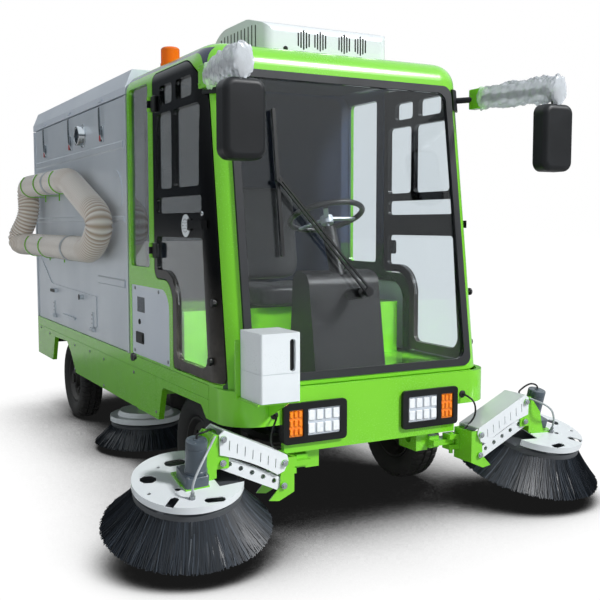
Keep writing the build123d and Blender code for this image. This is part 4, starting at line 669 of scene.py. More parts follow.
class SweeperHose(bpy.types.PropertyGroup):
    """Suction hose."""
    radius: length_setting("Radius", "Outer radius over the ribs", 0.075, 0.03, 0.08)
    pitch: length_setting("Rib pitch", "Distance between ribs", 0.021, 0.006, 0.04)
    depth: length_setting("Rib depth", "Depth between ribs in a bend", 0.008, 0.0, 0.012)


class SweeperPaint(bpy.types.PropertyGroup):
    """Colours a user would change."""
    body: color_setting("Body", "Paint of the cab, bumper and skirts", (122, 208, 36))
    glass: color_setting("Glass", "Tint of the windscreen", (238, 243, 246))


# Each finish with the nodes of the frame that keep it, by the start of their names
FINISHED_NODES = {
    "cab_paint": "cab_frame", "tinted_glass": "cab_glass door_left_glass door_right_glass",
    "green_paint": "cab_floor skirts front_bumper brush_mounts brush_head hose_hooks",
    "white_paint": "brush_upper_arm brush_lower_arm brush_guard mid_guards",
    "bristle_plastic": "brush_rotor mid_rotor", "panel_white": "service_panels hopper_lid",
    "hopper_sheet": "hopper_body rear_door side_flap", "steel": "hopper_fittings",
    "hose_plastic": "suction_hose", "rim_paint": "rim", "tyre_rubber": "tyre",
    "frame_black": "suction_nozzle frame_rails frame_cross_members leaf_springs",
    "axle_iron": "front_axle rear_axle knuckle", "seal_rubber": "windscreen_seal",
    "black_plastic": "wiper_arm lamp_housings", "console_black": "steering_console",
    "wheel_plastic": "steering_wheel", "seat_vinyl": "seat", "battery_case": "battery_block",
    "lens_plastic": "lamp_lenses", "mirror_plastic": "mirror", "beacon_plastic": "beacon",
    "white_plastic": "reservoir roof_cooling_unit", "door_print": "door_left_frame door_right_frame",
}
NODE_FINISH = {start: finish for finish, starts in FINISHED_NODES.items() for start in starts.split()}


class Step:
    """One step of the build, run as an operator."""

    def execute(self, context):
        self.build(context.scene)
        return {"FINISHED"}


class OBJECT_OT_sweeper_paint(Step, bpy.types.Operator):
    """Gives every node of the frame its finish"""
    bl_idname = "object.sweeper_paint"
    bl_label = "Paint the frame"

    def build(self, scene):
        for name, obj in NODES.items():
            start = max((key for key in NODE_FINISH if name.startswith(key)), key=len, default=None)
            if start is None:
                raise RuntimeError(f"{name} has no finish")
            obj.data.materials.clear()
            obj.data.materials.append(material(NODE_FINISH[start]))
            if "glass" in name:
                obj.visible_shadow = False
        paint = scene.sweeper_paint
        for name in ("green_paint", "cab_paint"):
            material(name).node_tree.nodes["finish"].inputs["Color"].default_value = (*paint.body, 1.0)
        material("tinted_glass").node_tree.nodes["finish"].inputs[6].default_value = (*paint.glass, 1.0)


def bolt_circle(middle, reach, radius, count=6):
    """Places on a circle about X that lies at a reach along X from a middle."""
    turn = np.arange(count) * 2 * pi / count
    return middle + np.stack([0 * turn + reach, radius * np.cos(turn), radius * np.sin(turn)], 1)


class OBJECT_OT_sweeper_tyres(Step, bpy.types.Operator):
    """Builds the four tyres with their tread blocks, in place of the plain turned tyres"""
    bl_idname = "object.sweeper_tyres"
    bl_label = "Tyres"

    def build(self, scene):
        settings = scene.sweeper_tyres
        for corner in ("front_left", "front_right", "rear_left", "rear_right"):
            low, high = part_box("tyre_" + corner)
            middle = (np.array(low) + np.array(high)) / 2
            form = Form().add(tyre_surface(settings.tread_depth, settings.blocks) + middle, True, True)
            tyre = piece("road_tyre_" + corner, form, "tyre_rubber", "wheel_" + corner, 30)
            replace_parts(tyre, "tyre_" + corner)
            side = 1 if "left" in corner else -1
            nuts = hexagons(Form(), bolt_circle(middle, side * 0.030, 0.078), (side, 0, 0), 9, 9)
            dots(nuts, bolt_circle(middle, side * 0.0575, 0.042), (side, 0, 0), 5, 4, 12)
            piece("wheel_nuts_" + corner, nuts, "axle_iron", "wheel_" + corner)


def tyre_surface(depth, blocks):
    """Closed surface about X: a half profile of a tyre and its mirror, turned round, with its radius
    lowered by a groove function of the angle and the place across the tread."""
    wall = [(-44, 158), (-52, 163), (-60, 172), (-66, 186), (-71, 200), (-72.5, 209), (-72.2, 222),
            (-70.5, 234)]
    tread = [(-67, 243), (-62, 251), (-57, 257), (-52.5, 260), (-45, 261.5), (-38, 262.8), (-31, 263.6),
             (-26, 264.1), (-23.5, 264.3), (-22.5, 264.3), (-17.5, 264.6), (-16.5, 264.6), (-12, 264.8),
             (-7, 264.9), (-2.2, 265)]
    outer = wall + tread
    bore = [(38, 158), (0, 156), (-38, 158)]
    a, r = np.array(outer + [(-a, r) for a, r in reversed(outer)] + bore, float).T
    turns = blocks * 10
    angle = np.arange(turns) * 2 * pi / turns
    phase = (angle * blocks / (2 * pi))[:, None] % 1.0
    outer_side = np.abs(a)[None, :]
    on_tread = (r > 240)[None, :]
    other = (phase + 0.5 * (a > 0)[None, :] + 0.12 * np.sign(a)[None, :] * (outer_side / 60)) % 1.0
    slot = np.clip((0.17 - np.abs(other - 0.5)) / 0.05, 0, 1) * (outer_side > 24)
    centre = (phase + 0.25 + 0.2 * a[None, :] / 20) % 1.0
    cut = np.clip((0.11 - np.abs(centre - 0.5)) / 0.05, 0, 1) * (outer_side < 16)
    channel = ((outer_side > 17) & (outer_side < 23)).astype(float) + 0 * phase
    groove = np.maximum(np.maximum(slot, cut * 0.8), channel) * on_tread
    fade = np.clip((r - 236) / 14, 0, 1)[None, :]
    radius = r[None, :] - depth / MM * groove * fade
    rings = 0.9 * np.cos(a[None, :] * 1.3) * ((r > 176) & (r < 236))[None, :]
    wide = a[None, :] + np.sign(a)[None, :] * np.minimum(rings, 0) + 0 * angle[:, None]
    return np.stack([wide, radius * np.cos(angle)[:, None], radius * np.sin(angle)[:, None]], -1) * MM


def strands(frame_of, count, top, low, spread, width, seed, waves=3.0):
    """Bristles: tapered three-sided strands from a ring at the top to a ring at the tips, each bowed
    along a quadratic curve. top and low give (inner radius, outer radius, height) in millimetres."""
    origin, out, back, axis = frame_of
    rng = np.random.default_rng(seed)
    angle = (np.arange(count) + rng.uniform(-0.5, 0.5, count)) * 2 * pi / count * 7 % (2 * pi)
    depth = rng.uniform(0, 1, count) ** 0.6
    r0 = top[0] + (top[1] - top[0]) * depth
    r1 = low[0] + (low[1] - low[0]) * depth - rng.uniform(0, 6, count)
    end = low[2] + rng.uniform(0, spread, count) * 0.6
    twist = rng.normal(0, 0.035, count) + 0.03 * np.sin(angle * waves)
    t = np.linspace(0, 1, 5)[None, :]
    radius = r0[:, None] + (r1 - r0)[:, None] * (0.8 * t + 0.2 * t ** 2)
    height = top[2] + (end[:, None] - top[2]) * t
    turn = angle[:, None] + twist[:, None] * t ** 1.5
    ring = np.cos(turn)[..., None] * out + np.sin(turn)[..., None] * back
    line = origin + (radius[..., None] * ring + height[..., None] * axis) * MM
    side = -np.sin(turn)[..., None] * out + np.cos(turn)[..., None] * back
    lift = np.cross(side, unit(np.gradient(line, axis=1)))
    corner = np.arange(3) * 2 * pi / 3
    thick = width * (1 - 0.35 * t)[..., None, None]
    grid = line[:, :, None] + thick * (0.9 * np.cos(corner)[:, None] * side[:, :, None]
                                       + 0.55 * np.sin(corner)[:, None] * lift[:, :, None])
    ends = [np.repeat(line[:, :1, None], 3, 2), grid, np.repeat(line[:, -1:, None], 3, 2)]
    return np.concatenate(ends, 1), rng.beta(1.6, 3.2, count)


def skirt_of_bristles(frame_of, outer, inner, count=160):
    """Dense inner mass of a brush: an outer and an inner cone closed into one ring, with its
    radius fluted round the axis and its lower edge uneven."""
    origin, out, back, axis = frame_of
    profile = np.array(outer + inner[::-1], float)
    angle = np.arange(count) * 2 * pi / count
    flute = np.sin(angle * 37) * 0.6 + np.sin(angle * 61 + 1) * 0.4
    low = np.clip((profile[:, 1].max() - profile[:, 1]) / np.ptp(profile[:, 1]), 0, 1)
    radius = profile[None, :, 0] + 2.6 * flute[:, None] * low[None, :]
    height = profile[None, :, 1] + 3.0 * np.abs(flute)[:, None] * (low[None, :] > 0.95)
    ring = np.cos(angle)[:, None, None] * out + np.sin(angle)[:, None, None] * back
    return origin + (radius[..., None] * ring + height[..., None] * axis) * MM


class OBJECT_OT_sweeper_bristles(Step, bpy.types.Operator):
    """Builds the rotors of the two side brushes and the two level brushes, strand by strand"""
    bl_idname = "object.sweeper_bristles"
    bl_label = "Brush rotors"

    def build(self, scene):
        settings = scene.sweeper_bristles
        for name, side in SIDES:
            tufts = [(settings.strands, (198, 210, -62), (318, 338, -204), 14, 11 + side, 1.0),
                     (settings.strands // 3, (182, 192, -62), (262, 282, -204), 10, 31 + side, 0.6)]
            skirt = ([(204, -66), (240, -104), (284, -152), (325, -198)],
                     [(182, -66), (206, -104), (234, -150), (268, -196)])
            disc = [(0, 34), (12, 34), (12, -36), (198, -36), (210, -42), (211, -66), (206, -70), (180, -70),
                    (178, -46), (0, -46)]
            self.rotor("side_brush_%s_" + name, "brush_rotor_" + name, brush_frame(side), tufts, skirt, disc)
            tufts = [(settings.level_strands, (190, 198, 138), (282, 299, 36), 8, 51 + side, 1.0)]
            skirt = ([(196, 136), (228, 104), (262, 68), (288, 42)],
                     [(174, 136), (196, 104), (220, 68), (238, 42)])
            disc = [(0, 250), (12, 250), (12, 157), (192, 157), (199, 150), (199, 136), (172, 136),
                    (171, 148), (0, 148)]
            level = (place(side * 430, 1800, 0), np.array((side, 0, 0), float), Y, Z)
            self.rotor("level_brush_%s_" + name, "mid_rotor_" + name, level, tufts, skirt, disc)

    def rotor(self, label, body, frame_of, tufts, skirt, disc):
        """One rotor: the dense skirt, its rows of strands and the carrier disc on its axis."""
        width = bpy.context.scene.sweeper_bristles.thickness
        form = Form().add(skirt_of_bristles(frame_of, *skirt), True, True, 0.12)
        for count, top, low, spread, seed, tone in tufts:
            grids, shades = strands(frame_of, count, top, low, spread, width, seed)
            form.add_many(grids, False, True, shades * tone)
        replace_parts(piece(label % "bristles", form, "bristle_plastic", body, 60), body)
        carrier = Form().add(turned(disc, frame_of[0], frame_of[3], 96), True)
        piece(label % "carrier", carrier, "ring_grey", body)


# Route of the suction hose: x, behind, z
HOSE_ROUTE = [(-762, 3370, 1572), (-762, 3078, 1572), (-762, 2312, 1572), (-762, 2180, 1572),
              (-762, 2055, 1529.4), (-762, 1846.8, 1458.4), (-762, 1470, 1330), (-762, 1690, 1166),
              (-762, 1850, 1166), (-762, 3083, 1166), (-762, 3180, 1166), (-845, 3430, 1168),
              (-762, 3280, 1370)]


class OBJECT_OT_sweeper_hose(Step, bpy.types.Operator):
    """Builds the ribbed suction hose that lies on its hooks, in place of the plain tube"""
    bl_idname = "object.sweeper_hose"
    bl_label = "Suction hose"

    def build(self, scene):
        settings = scene.sweeper_hose
        line = spline(sided(1, *HOSE_ROUTE), 60, closed=True)
        line, run, length = even(line, settings.pitch / 8, closed=True)
        bend = np.linalg.norm(np.roll(line, -24, 0) - 2 * line + np.roll(line, 24, 0), axis=1)
        bend = np.clip(bend / np.percentile(bend, 70), 0, 1)
        ribs = round(length / settings.pitch)
        wave = 0.5 + 0.5 * np.cos(2 * pi * ribs * run / length)
        depth = settings.depth * (0.5 + 0.5 * bend)
        radius = settings.radius - 0.0006 - depth * (1 - wave ** 0.7)
        # Painted shade and highlight: rib valleys take the darker colour and crests the near-white one, most
        # of all in the bends.
        shade = 1 - (1 - wave) * (0.35 + 0.65 * bend)
        form = Form().add(tube(line, radius, 34, closed=True), True, True, shade[:, None])
        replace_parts(piece("ribbed_suction_hose", form, "hose_plastic", smooth=80), "suction_hose")
        bands = Form()
        ring = [(75.2, -22), (77, -20), (77, 20), (75.2, 22), (74.6, 22), (74.6, -22)]
        for at in sided(-1, (762, 2590, 1572), (762, 2120, 1166)):
            bands.add(turned(ring, at, Y, 64), True, True)
        piece("hose_bands", bands, "pipe_grey")


def channelled(depth, pitch):
    """Dent that runs in straight sewn channels along one direction of a cushion."""
    def dent(x, y, z):
        return depth * np.exp(-((np.mod(x + pitch / 2, pitch) - pitch / 2) / 0.006) ** 2)
    return dent


class OBJECT_OT_sweeper_seat(Step, bpy.types.Operator):
    """Builds the driver's seat: a crowned cushion with sewn channels, and a crowned back"""
    bl_idname = "object.sweeper_seat"
    bl_label = "Seat"

    def build(self, scene):
        lean = unit((0, sin(radians(9)), cos(radians(9))))
        sewn = channelled(0.007, 0.075)
        cushions = [
            self.cushion("seat_cushion", (0.222, 0.214, 0.053), (858, 956), (X, Y, Z), sewn),
            self.cushion("seat_back", (0.212, 0.040, 0.245), (1150, 1258), (X, np.cross(lean, X), lean)),
        ]
        for cushion in cushions:
            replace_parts(cushion, "seat")

    def cushion(self, name, half, middle, directions, dent=None):
        """One padded cushion, about a middle given as its place behind the face and above the ground."""
        form = Form().add(padded_block(half, place(0, *middle), directions, 0.3, 96, 48, dent), True)
        made = piece(name, form, "seat_vinyl", smooth=70)
        return made


class OBJECT_OT_sweeper_cab_trim(Step, bpy.types.Operator):
    """Adds the cab's linings, door fittings and service panel fittings"""
    bl_idname = "object.sweeper_cab_trim"
    bl_label = "Cab trim"

    def build(self, scene):
        # Linings on the cab's rear wall and under its roof, in a dark finish that is partly painted shade.
        lining = Form()
        lining.add(slab(rounded(1180, 1110, 60), place(0, 1265.5, 1468), X, Z, 0, 3.5), True)
        lining.add(slab(rounded(1100, 900, 90), place(0, 800, 2036), X, Y, 0, 4), True)
        piece("cab_lining", lining, "lining")
        for name, side in SIDES:
            self.door(name, side)
            self.service(name, side)

    def door(self, name, side):
        """Lock, perforated disc, slide handle, hinge covers and turn knobs on one door."""
        out = (side, 0, 0)
        face = HALF_WIDTH / MM
        black = Form()
        for back, z in ((861, 1873), (861, 1184)):
            side_slab(black, side, rounded(52, 74, 10), (face, back, z), 0, 15, 4)
        side_slab(black, side, rounded(36, 52, 9), (face, 430, 1307), 0, 8, 2)
        for row in ((900, 190, 983), (900, 517, 733), (900, 196, 738)):
            at = seat_on("door_%s_frame" % name, sided(side, row), (-side, 0, 0))[0]
            knob(black, at - np.array(out) * 0.001, out, 17, 20)
        side_slab(black, side, rounded(44, 16, 5), (face - 12, 313, 1444), 0, 9, 2)
        pale = dots(Form(), sided(side, (675, 479, 1302)), out, 50, 5, 48)
        # Painted shadow: the disc's holes are low dark dots, not cut through.
        holes = [place(side * 679.2, 479 + reach * cos(turn), 1302 + reach * sin(turn))
                 for reach, count in ((0, 1), (14, 6), (28, 12))
                 for turn in np.arange(count) * 2 * pi / count]
        dark = dots(Form(), holes, out, 3.4, 0.8, 12)
        bright = dots(Form(), sided(side, (675, 288, 1352)), out, 11, 6, 24)
        for label, form, finish in (("disc", pale, "white_plastic"), ("disc_holes", dark, "shadow_slot"),
                                    ("fittings", black, "black_plastic"), ("lock", bright, "chrome")):
            piece("door_%s_%s" % (label, name), form, finish, "door_" + name)

    def service(self, name, side):
        """Screws, slotted vent, button and charging socket cover on one service panel."""
        out = (side, 0, 0)
        face = HALF_WIDTH / MM - 2
        corners = [(face, 1207, 984), (face, 852, 984), (face, 1223, 662), (face, 730, 662)]
        screws = dots(Form(), sided(side, *corners), out, 9, 5)
        dark = Form()
        # Painted shadow: the vent's slots are thin dark slabs on the panel, not openings.
        for k in range(9):
            side_slab(dark, side, rounded(6, 78, 2.9), (face, 1068 + k * 13, 903), 0, 1.2, 0.4)
        side_slab(dark, side, rounded(118, 58, 8), (face, 1138, 733), 0, 5, 1.5)
        side_slab(dark, side, rounded(100, 40, 6), (face, 1138, 733), 5, 8, 1.5)
        dots(dark, sided(side, (face, 1142, 815)), out, 14, 7, 24)
        piece("service_screws_" + name, screws, "steel")
        piece("service_fittings_" + name, dark, "black_plastic")


class OBJECT_OT_sweeper_lamps(Step, bpy.types.Operator):
    """Adds the light cells inside the head lamps and indicators"""
    bl_idname = "object.sweeper_lamps"
    bl_label = "Lamp cells"

    def build(self, scene):
        for name, side in SIDES:
            self.cells("head_lamp_cells_" + name, "led_white", side,
                       (4, 196, 39.7), (2, 459, 55), (32, 44, 5))
            self.cells("indicator_cells_" + name, "led_amber", side,
                       (3, 367.5, 21.5), (3, 450, 36.5), (17, 29, 4))

    def cells(self, name, finish, side, columns, rows, outline):
        """Cells in columns and rows, each given as their count, first place and step."""
        form = Form()
        for x in columns[1] + np.arange(columns[0]) * columns[2]:
            for z in rows[1] + np.arange(rows[0]) * rows[2]:
                form.add(slab(rounded(*outline), place(side * x, -8, z), X, Z, -0.5, 5.5, 3.5), True)
        piece(name, form, finish)


class OBJECT_OT_sweeper_mirrors(Step, bpy.types.Operator):
    """Adds the mirrors' glass, their brackets and the packing film round their arms"""
    bl_idname = "object.sweeper_mirrors"
    bl_label = "Mirrors"

    def build(self, scene):
        for name, side in SIDES:
            middle = place(side * 748, -235, 1683)
            glass = Form().add(slab(rounded(148, 268, 34), middle, X, -Z, 0, 2.2, 0.8), True)
            piece("mirror_glass_" + name, glass, "mirror_glass")
            bracket = Form()
            side_slab(bracket, side, rounded(78, 94, 5), (696, 184, 1903), -19, 19, 2.5)
            bolts = [(715, 184 + 26 * a, 1903 + 30 * b) for a in (-1, 1) for b in (-1, 1)]
            dots(bracket, sided(side, *bolts), (side, 0, 0), 7, 5)
            piece("mirror_bracket_" + name, bracket, "green_paint")
            sleeve = piece("packing_film_" + name, self.film(side), "bubble_film", smooth=80)
            sleeve.visible_shadow = False

    def film(self, side):
        """Crumpled tube of film along one mirror arm: its oval section waves round and along it."""
        path = spline(sided(side, (693, 165, 1903), (720, 10, 1903), (742, -130, 1902), (752, -230, 1898),
                            (752, -305, 1888)), 22)
        t = np.linspace(0, 1, len(path))[:, None]
        angle = np.linspace(0, 2 * pi, 48, endpoint=False)[None, :]
        crumple = (1 + 0.05 * np.sin(angle * 5 + t * 37) + 0.05 * np.sin(angle * 9 - t * 61 + side)
                   + 0.04 * np.sin(t * 90) + 0.03 * np.sin(angle * 16 + t * 140))
        closing = np.sqrt(np.clip(1 - (np.abs(2 * t - 1)) ** 14, 0, 1))
        tall = (0.050 + 0.012 * t + 0.004 * np.sin(t * 23)) * crumple * closing
        wide = (0.027 + 0.014 * t) * crumple * closing
        flat = unit(np.cross(unit(np.gradient(path, axis=0)), Z))
        sides, tops = (wide * np.cos(angle))[..., None], (tall * np.sin(angle))[..., None]
        return Form().add(path[:, None] + sides * flat[:, None] + tops * Z, False, True)


def cord(route, radius, samples=10):
    """Cable or pipe that runs smoothly along a route."""
    return tube(even(spline(route, samples), 0.006)[0], radius, 10)


class OBJECT_OT_sweeper_brush_gear(Step, bpy.types.Operator):
    """Adds the side brushes' motor casings, gearboxes, bolts, cables and spray nozzles"""
    bl_idname = "object.sweeper_brush_gear"
    bl_label = "Brush gear"

    def build(self, scene):
        casing = [(0, 45), (44.5, 45), (44.5, 55), (41.5, 56), (41.5, 60), (40.6, 61), (41.5, 62),
                  (41.5, 150), (39.8, 151), (39.8, 154), (41.5, 155), (41.5, 174), (39.8, 179), (32, 181),
                  (12, 181), (11, 184), (0, 184)]
        for name, side in SIDES:
            out, back, axis = brush_frame(side)[1:]
            head = "brush_head_" + name
            motor = Form().add(turned(casing, on_brush(side, -14, 42 * side, 0), axis, 64), True)
            gearbox = on_brush(side, -4, 36 * side, 0)
            motor.add(slab(rounded(94, 116, 11), gearbox, out * side, back, 5.5, 48, 1.2), True)
            piece("motor_casing_" + name, motor, "motor_grey", head)
            corners = [on_brush(side, -4 + 36 * a, 36 * side + 47 * b, 47) for a in (-1, 1) for b in (-1, 1)]
            bolts = hexagons(Form(), corners, axis, 5, 5)
            turns = np.arange(4) * pi / 2 + 0.5
            caps = [on_brush(side, -14 + 30 * cos(a), 42 * side + 30 * sin(a), 178) for a in turns]
            piece("motor_bolts_" + name, hexagons(bolts, caps, axis, 3.5, 4), "steel", head)
            self.pivots("inner_" + name, "chassis", side, 500, 361)
            self.pivots("outer_" + name, head, side, 765, 487)
            self.lines(name, side)

    def pivots(self, name, body, side, x, z):
        """Bright bolt heads on the pins of both arms, at one bracket."""
        bolts = Form()
        for place_of in sided(side, (x, -127, z), (x, -120, z - 94)):
            hexagons(bolts, [place_of], (0, -1, 0), 10, 8)
        piece("pivot_bolts_" + name, bolts, "chrome", body)

    def lines(self, name, side):
        """Motor cable on the head, its loop from the bumper's grommet, and the spray hose."""
        head = "brush_head_" + name
        top = on_brush(side, -14, 42 * side, 182)
        route = [top, top + Z * 0.02, top + Z * 0.03 + np.array((-side * 0.03, 0.02 * side, 0)),
                 *sided(side, (800, -50 + 20 * side, 520), (785, -50, 512))]
        piece("motor_cable_" + name, Form().add(cord(route, 0.0042)), "cable_black", head)
        route = sided(side, (485, -2, 529), (487, -30, 527), (515, -55, 500), (528, -48, 440),
                      (505, -40, 400), (470, -38, 372))
        grommet = [(0, 0), (17, 0), (17, 3), (9, 6), (0, 6)]
        loop = Form().add(cord(route, 0.0042))
        loop.add(turned(grommet, place(side * 485, 0, 529), (0, -1, 0), 32), True)
        piece("grommet_loop_" + name, loop, "cable_black")
        axis = brush_frame(side)[3]
        spot = on_brush(side, 40, -150 if side < 0 else -57, 1)
        nozzle = [(0, 0), (11, 0), (11, 10), (7, 12), (7, 26), (0, 26)]
        piece("spray_nozzle_" + name, Form().add(turned(nozzle, spot, axis, 24), True), "steel", head)
        route = [spot + axis * 0.02, spot + axis * 0.07, on_brush(side, -40, -90, 150),
                 place(side * 792, -108, 500)]
        piece("spray_hose_" + name, Form().add(cord(route, 0.0046, 12)), "pipe_grey", head)


class OBJECT_OT_sweeper_hopper_trim(Step, bpy.types.Operator):
    """Builds the side port's collar and the wire latches, in place of their plain solids"""
    bl_idname = "object.sweeper_hopper_trim"
    bl_label = "Hopper trim"

    def build(self, scene):
        face = 667
        collar = [(44, 0), (70, 0), (70, 3), (60, 5), (59, 8), (59, 36), (57, 40), (52, 42), (46, 42),
                  (44, 40)]
        bright = Form().add(turned(collar, place(-face, 2190, 1836), (-1, 0, 0), 72), True, True)
        tips = Form()
        for latch in (1764, 2456, 3150):
            side_slab(bright, -1, rounded(34, 92, 6), (face, latch, 1812), 0, 10, 2)
            for edge in (-12, 12):
                route = sided(-1, (face + 10, latch + edge, 1780), (face + 16, latch + edge, 1800),
                              (face + 20, latch + edge * 0.9, 1900), (face + 19, latch + edge * 0.7, 1960))
                bright.add(tube(spline(route, 8), 0.0038, 10))
            ends = sided(-1, (face + 19, latch - 9, 1959), (face + 19, latch + 9, 1959))
            bright.add(tube(ends, 0.0038, 10, up=Z))
            side_slab(bright, -1, rounded(22, 60, 5), (face, latch, 1812), 10, 16, 3)
            side_slab(tips, -1, rounded(16, 34, 5), (face, latch, 1786), 16, 21, 2.5)
        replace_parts(piece("port_collar_and_latches", bright, "chrome"), "hopper_fittings")
        piece("latch_tips", tips, "red_grip")
        flap = Form()
        knob(flap, place(-697, 2236, 862), (-1, 0, 0), 17, 4)
        side_slab(flap, -1, rounded(118, 20, 6), (697, 2940, 857), -1, 3, 2)
        piece("flap_handle_grips", flap, "black_plastic", "side_flap")
        rivets = Form()
        for strap in (2020, 2980):
            dots(rivets, [place(-679, strap, z) for z in (720, 745, 770)], (-1, 0, 0), 5, 3, 14)
        piece("flap_rivets", rivets, "steel", "side_flap")


class OBJECT_OT_sweeper_roof_unit(Step, bpy.types.Operator):
    """Adds the louvres on the cooling unit's front and sides, as thin dark slabs of painted shadow"""
    bl_idname = "object.sweeper_roof_unit"
    bl_label = "Cooling unit louvres"

    def build(self, scene):
        dark = Form()
        # Painted shadow: thin dark slabs stand for the shade in the recessed louvre slots.
        for group in (-129, -43, 85, 173):
            for k in range(-2, 3):
                slot = rounded(7, 88 - 14 * abs(k), 3.4)
                dark.add(slab(slot, place(group + k * 14, 400, 2139), X, Z, -1, 0.8, 0.3), True)
        dots(dark, [place(-222, 400, 2093)], (0, -1, 0), 11, 6, 24)
        for _, side in SIDES:
            for back in range(475, 932, 38):
                height = min(2220 - 0.0006 * (back - 660) ** 2, 2205) - 2100
                side_slab(dark, side, rounded(9, height, 4.4), (335, back, 2100 + height / 2), -1, 0.8, 0.3)
        piece("cooling_unit_slots", dark, "shadow_slot")


class OBJECT_OT_sweeper_chassis_trim(Step, bpy.types.Operator):
    """Adds the studs along the skirts and a dark strip of painted shadow in the reservoir's notch"""
    bl_idname = "object.sweeper_chassis_trim"
    bl_label = "Chassis trim"

    def build(self, scene):
        spots = [(2450, 537), (2463, 380), (2094, 543), (1796, 534), (1806, 378), (1245, 540), (900, 394),
                 (3142, 539), (3410, 556)]
        for name, side in SIDES:
            studs = dots(Form(), [place(side * 675, *spot) for spot in spots], (side, 0, 0), 8, 5)
            piece("skirt_studs_" + name, studs, "steel")
        # Painted shadow: a dark strip stands for the shade inside the reservoir's open notch.
        strip = slab(rounded(23, 124, 11), place(-504.5, -186, 804.5), X, Z, 0, 1, 0.3)
        piece("reservoir_notch_shadow", Form().add(strip, True), "shadow_slot")


def plainly_seen(tree):
    """One for rays from the camera, straight or through glass, else nought."""
    path = node(tree, "LightPath").outputs
    return compute(tree, "MAXIMUM", path["Is Camera Ray"], path["Is Transmission Ray"])


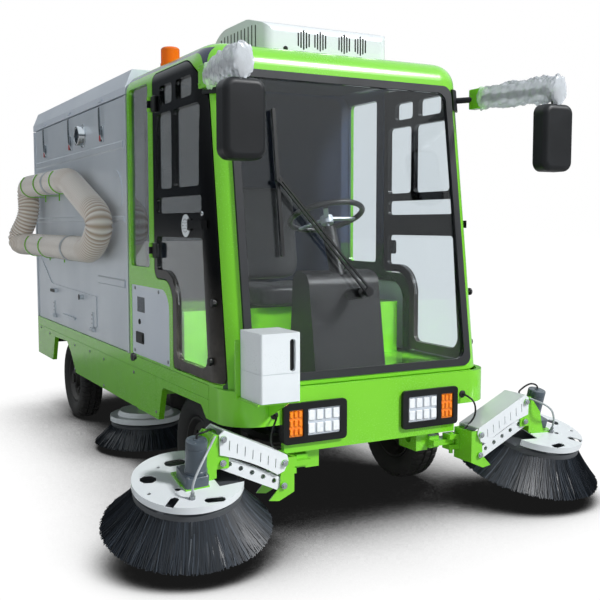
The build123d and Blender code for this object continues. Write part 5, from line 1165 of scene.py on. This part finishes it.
class OBJECT_OT_sweeper_stage(Step, bpy.types.Operator):
    """Sets up the white floor, the plain soft light and the camera"""
    bl_idname = "object.sweeper_stage"
    bl_label = "Stage"

    def build(self, scene):
        self.floor(scene)
        self.sky(scene)
        lamp = bpy.data.lights.new("key", "SUN")
        lamp.energy, lamp.angle = 3.3, radians(9)
        sun = bpy.data.objects.new("key", lamp)
        sun.rotation_euler = Vector((-0.50, 0.62, -0.66)).to_track_quat("-Z", "Y").to_euler()
        scene.collection.objects.link(sun)
        lens = bpy.data.cameras.new("view")
        lens.lens, lens.sensor_width, lens.clip_end = 53.66, 36.0, 300.0
        camera = bpy.data.objects.new("view", lens)
        yaw, pitch = radians(28.416), radians(4.872)
        ahead = Vector((sin(yaw) * cos(pitch), cos(yaw) * cos(pitch), -sin(pitch)))
        camera.rotation_euler = ahead.to_track_quat("-Z", "Y").to_euler()
        camera.location = (-2.1096, -4.8515, 1.3104)
        scene.collection.objects.link(camera)
        scene.camera = camera
        scene.view_settings.view_transform = "Standard"

    def floor(self, scene):
        """Pale stone, which the camera sees as glowing white, with a painted shadow that darkens it under and
        close to the vehicle.
        """
        edge, level = 60.0, -0.0005
        mesh = bpy.data.meshes.new("floor")
        corners = [(x * edge, y * edge, level) for x, y in ((-1, -1), (1, -1), (1, 1), (-1, 1))]
        mesh.from_pydata(corners, [], [(0, 1, 2, 3)])
        floor = bpy.data.objects.new("floor", mesh)
        scene.collection.objects.link(floor)
        stone, tree, shader = blank("floor_pale")
        noise = node(tree, "TexNoise", {"Vector": object_place(tree), "Scale": 30.0, "Detail": 6.0})
        plain = node(tree, "BsdfDiffuse", {"Color": ranged(tree, noise.outputs["Fac"], 0.0, 1.0, 0.52, 0.58)})
        # Painted shadow: the camera sees the floor as emission dimmed by occlusion near the vehicle, not as
        # shade cast by the sun.
        near = node(tree, "AmbientOcclusion", {"Distance": 1.0}, samples=16)
        fade = ranged(tree, near.outputs["AO"], 0.36, 0.94, 0.01, 1.04, smooth=True)
        white = node(tree, "Emission", {"Strength": fade})
        seen = plainly_seen(tree)
        both = node(tree, "MixShader", {"Fac": seen, 1: plain.outputs[0], 2: white.outputs[0]})
        tree.nodes.remove(shader)
        tree.links.new(tree.nodes["Material Output"].inputs["Surface"], both.outputs[0])
        mesh.materials.append(stone)

    def sky(self, scene):
        """White behind the vehicle; as light, brightest low down; in reflections, darkest low down."""
        scene.world = scene.world or bpy.data.worlds.new("studio")
        scene.world.use_nodes = True
        tree = scene.world.node_tree
        tree.nodes.clear()
        where = node(tree, "TexCoord").outputs["Generated"]
        height = node(tree, "SeparateXYZ", {"Vector": where}).outputs["Z"]
        rise = ranged(tree, height, 0.15, 0.35, smooth=True)
        fill = blend(tree, rise, (1.5, 1.55, 1.6, 1), (0.12, 0.13, 0.14, 1))
        rise = ranged(tree, height, 0.08, 0.5, smooth=True)
        glint = blend(tree, rise, (0.05, 0.06, 0.07, 1), (0.9, 0.96, 1, 1))
        glossy = node(tree, "LightPath").outputs["Is Glossy Ray"]
        color = blend(tree, plainly_seen(tree), blend(tree, glossy, fill, glint), WHITE)
        light = node(tree, "Background", {"Color": color})
        node(tree, "OutputWorld", {"Surface": light.outputs[0]})


class VIEW3D_PT_sweeper(bpy.types.Panel):
    """Lists the sweeper's pieces and their settings"""
    bl_label = "Street sweeper"
    bl_idname = "VIEW3D_PT_sweeper"
    bl_space_type = "VIEW_3D"
    bl_region_type = "UI"
    bl_category = "Sweeper"

    def draw(self, context):
        for group in SETTINGS:
            settings = getattr(context.scene, group)
            box = self.layout.box()
            for key in settings.__annotations__:
                box.prop(settings, key)
        for operator in OPERATORS:
            self.layout.operator(operator.bl_idname)


SETTINGS = {"sweeper_paint": SweeperPaint, "sweeper_tyres": SweeperTyres, "sweeper_bristles": SweeperBristles,
            "sweeper_hose": SweeperHose}
OPERATORS = (
    OBJECT_OT_sweeper_paint, OBJECT_OT_sweeper_stage, OBJECT_OT_sweeper_hose, OBJECT_OT_sweeper_tyres,
    OBJECT_OT_sweeper_bristles, OBJECT_OT_sweeper_seat, OBJECT_OT_sweeper_cab_trim, OBJECT_OT_sweeper_lamps,
    OBJECT_OT_sweeper_mirrors, OBJECT_OT_sweeper_brush_gear, OBJECT_OT_sweeper_hopper_trim,
    OBJECT_OT_sweeper_roof_unit, OBJECT_OT_sweeper_chassis_trim,
)


def register():
    """Registers the settings, operators and panel."""
    for kind in (*SETTINGS.values(), *OPERATORS, VIEW3D_PT_sweeper):
        bpy.utils.register_class(kind)
    for name, kind in SETTINGS.items():
        setattr(bpy.types.Scene, name, bpy.props.PointerProperty(type=kind))


def unregister():
    """Removes the settings, operators and panel."""
    for name in SETTINGS:
        delattr(bpy.types.Scene, name)
    for kind in (VIEW3D_PT_sweeper, *reversed(OPERATORS), *reversed(list(SETTINGS.values()))):
        bpy.utils.unregister_class(kind)


def main():
    """Builds the dressed model piece by piece."""
    register()
    for operator in OPERATORS:
        group, name = operator.bl_idname.split(".")
        getattr(getattr(bpy.ops, group), name)()


if __name__ == "__main__":
    main()
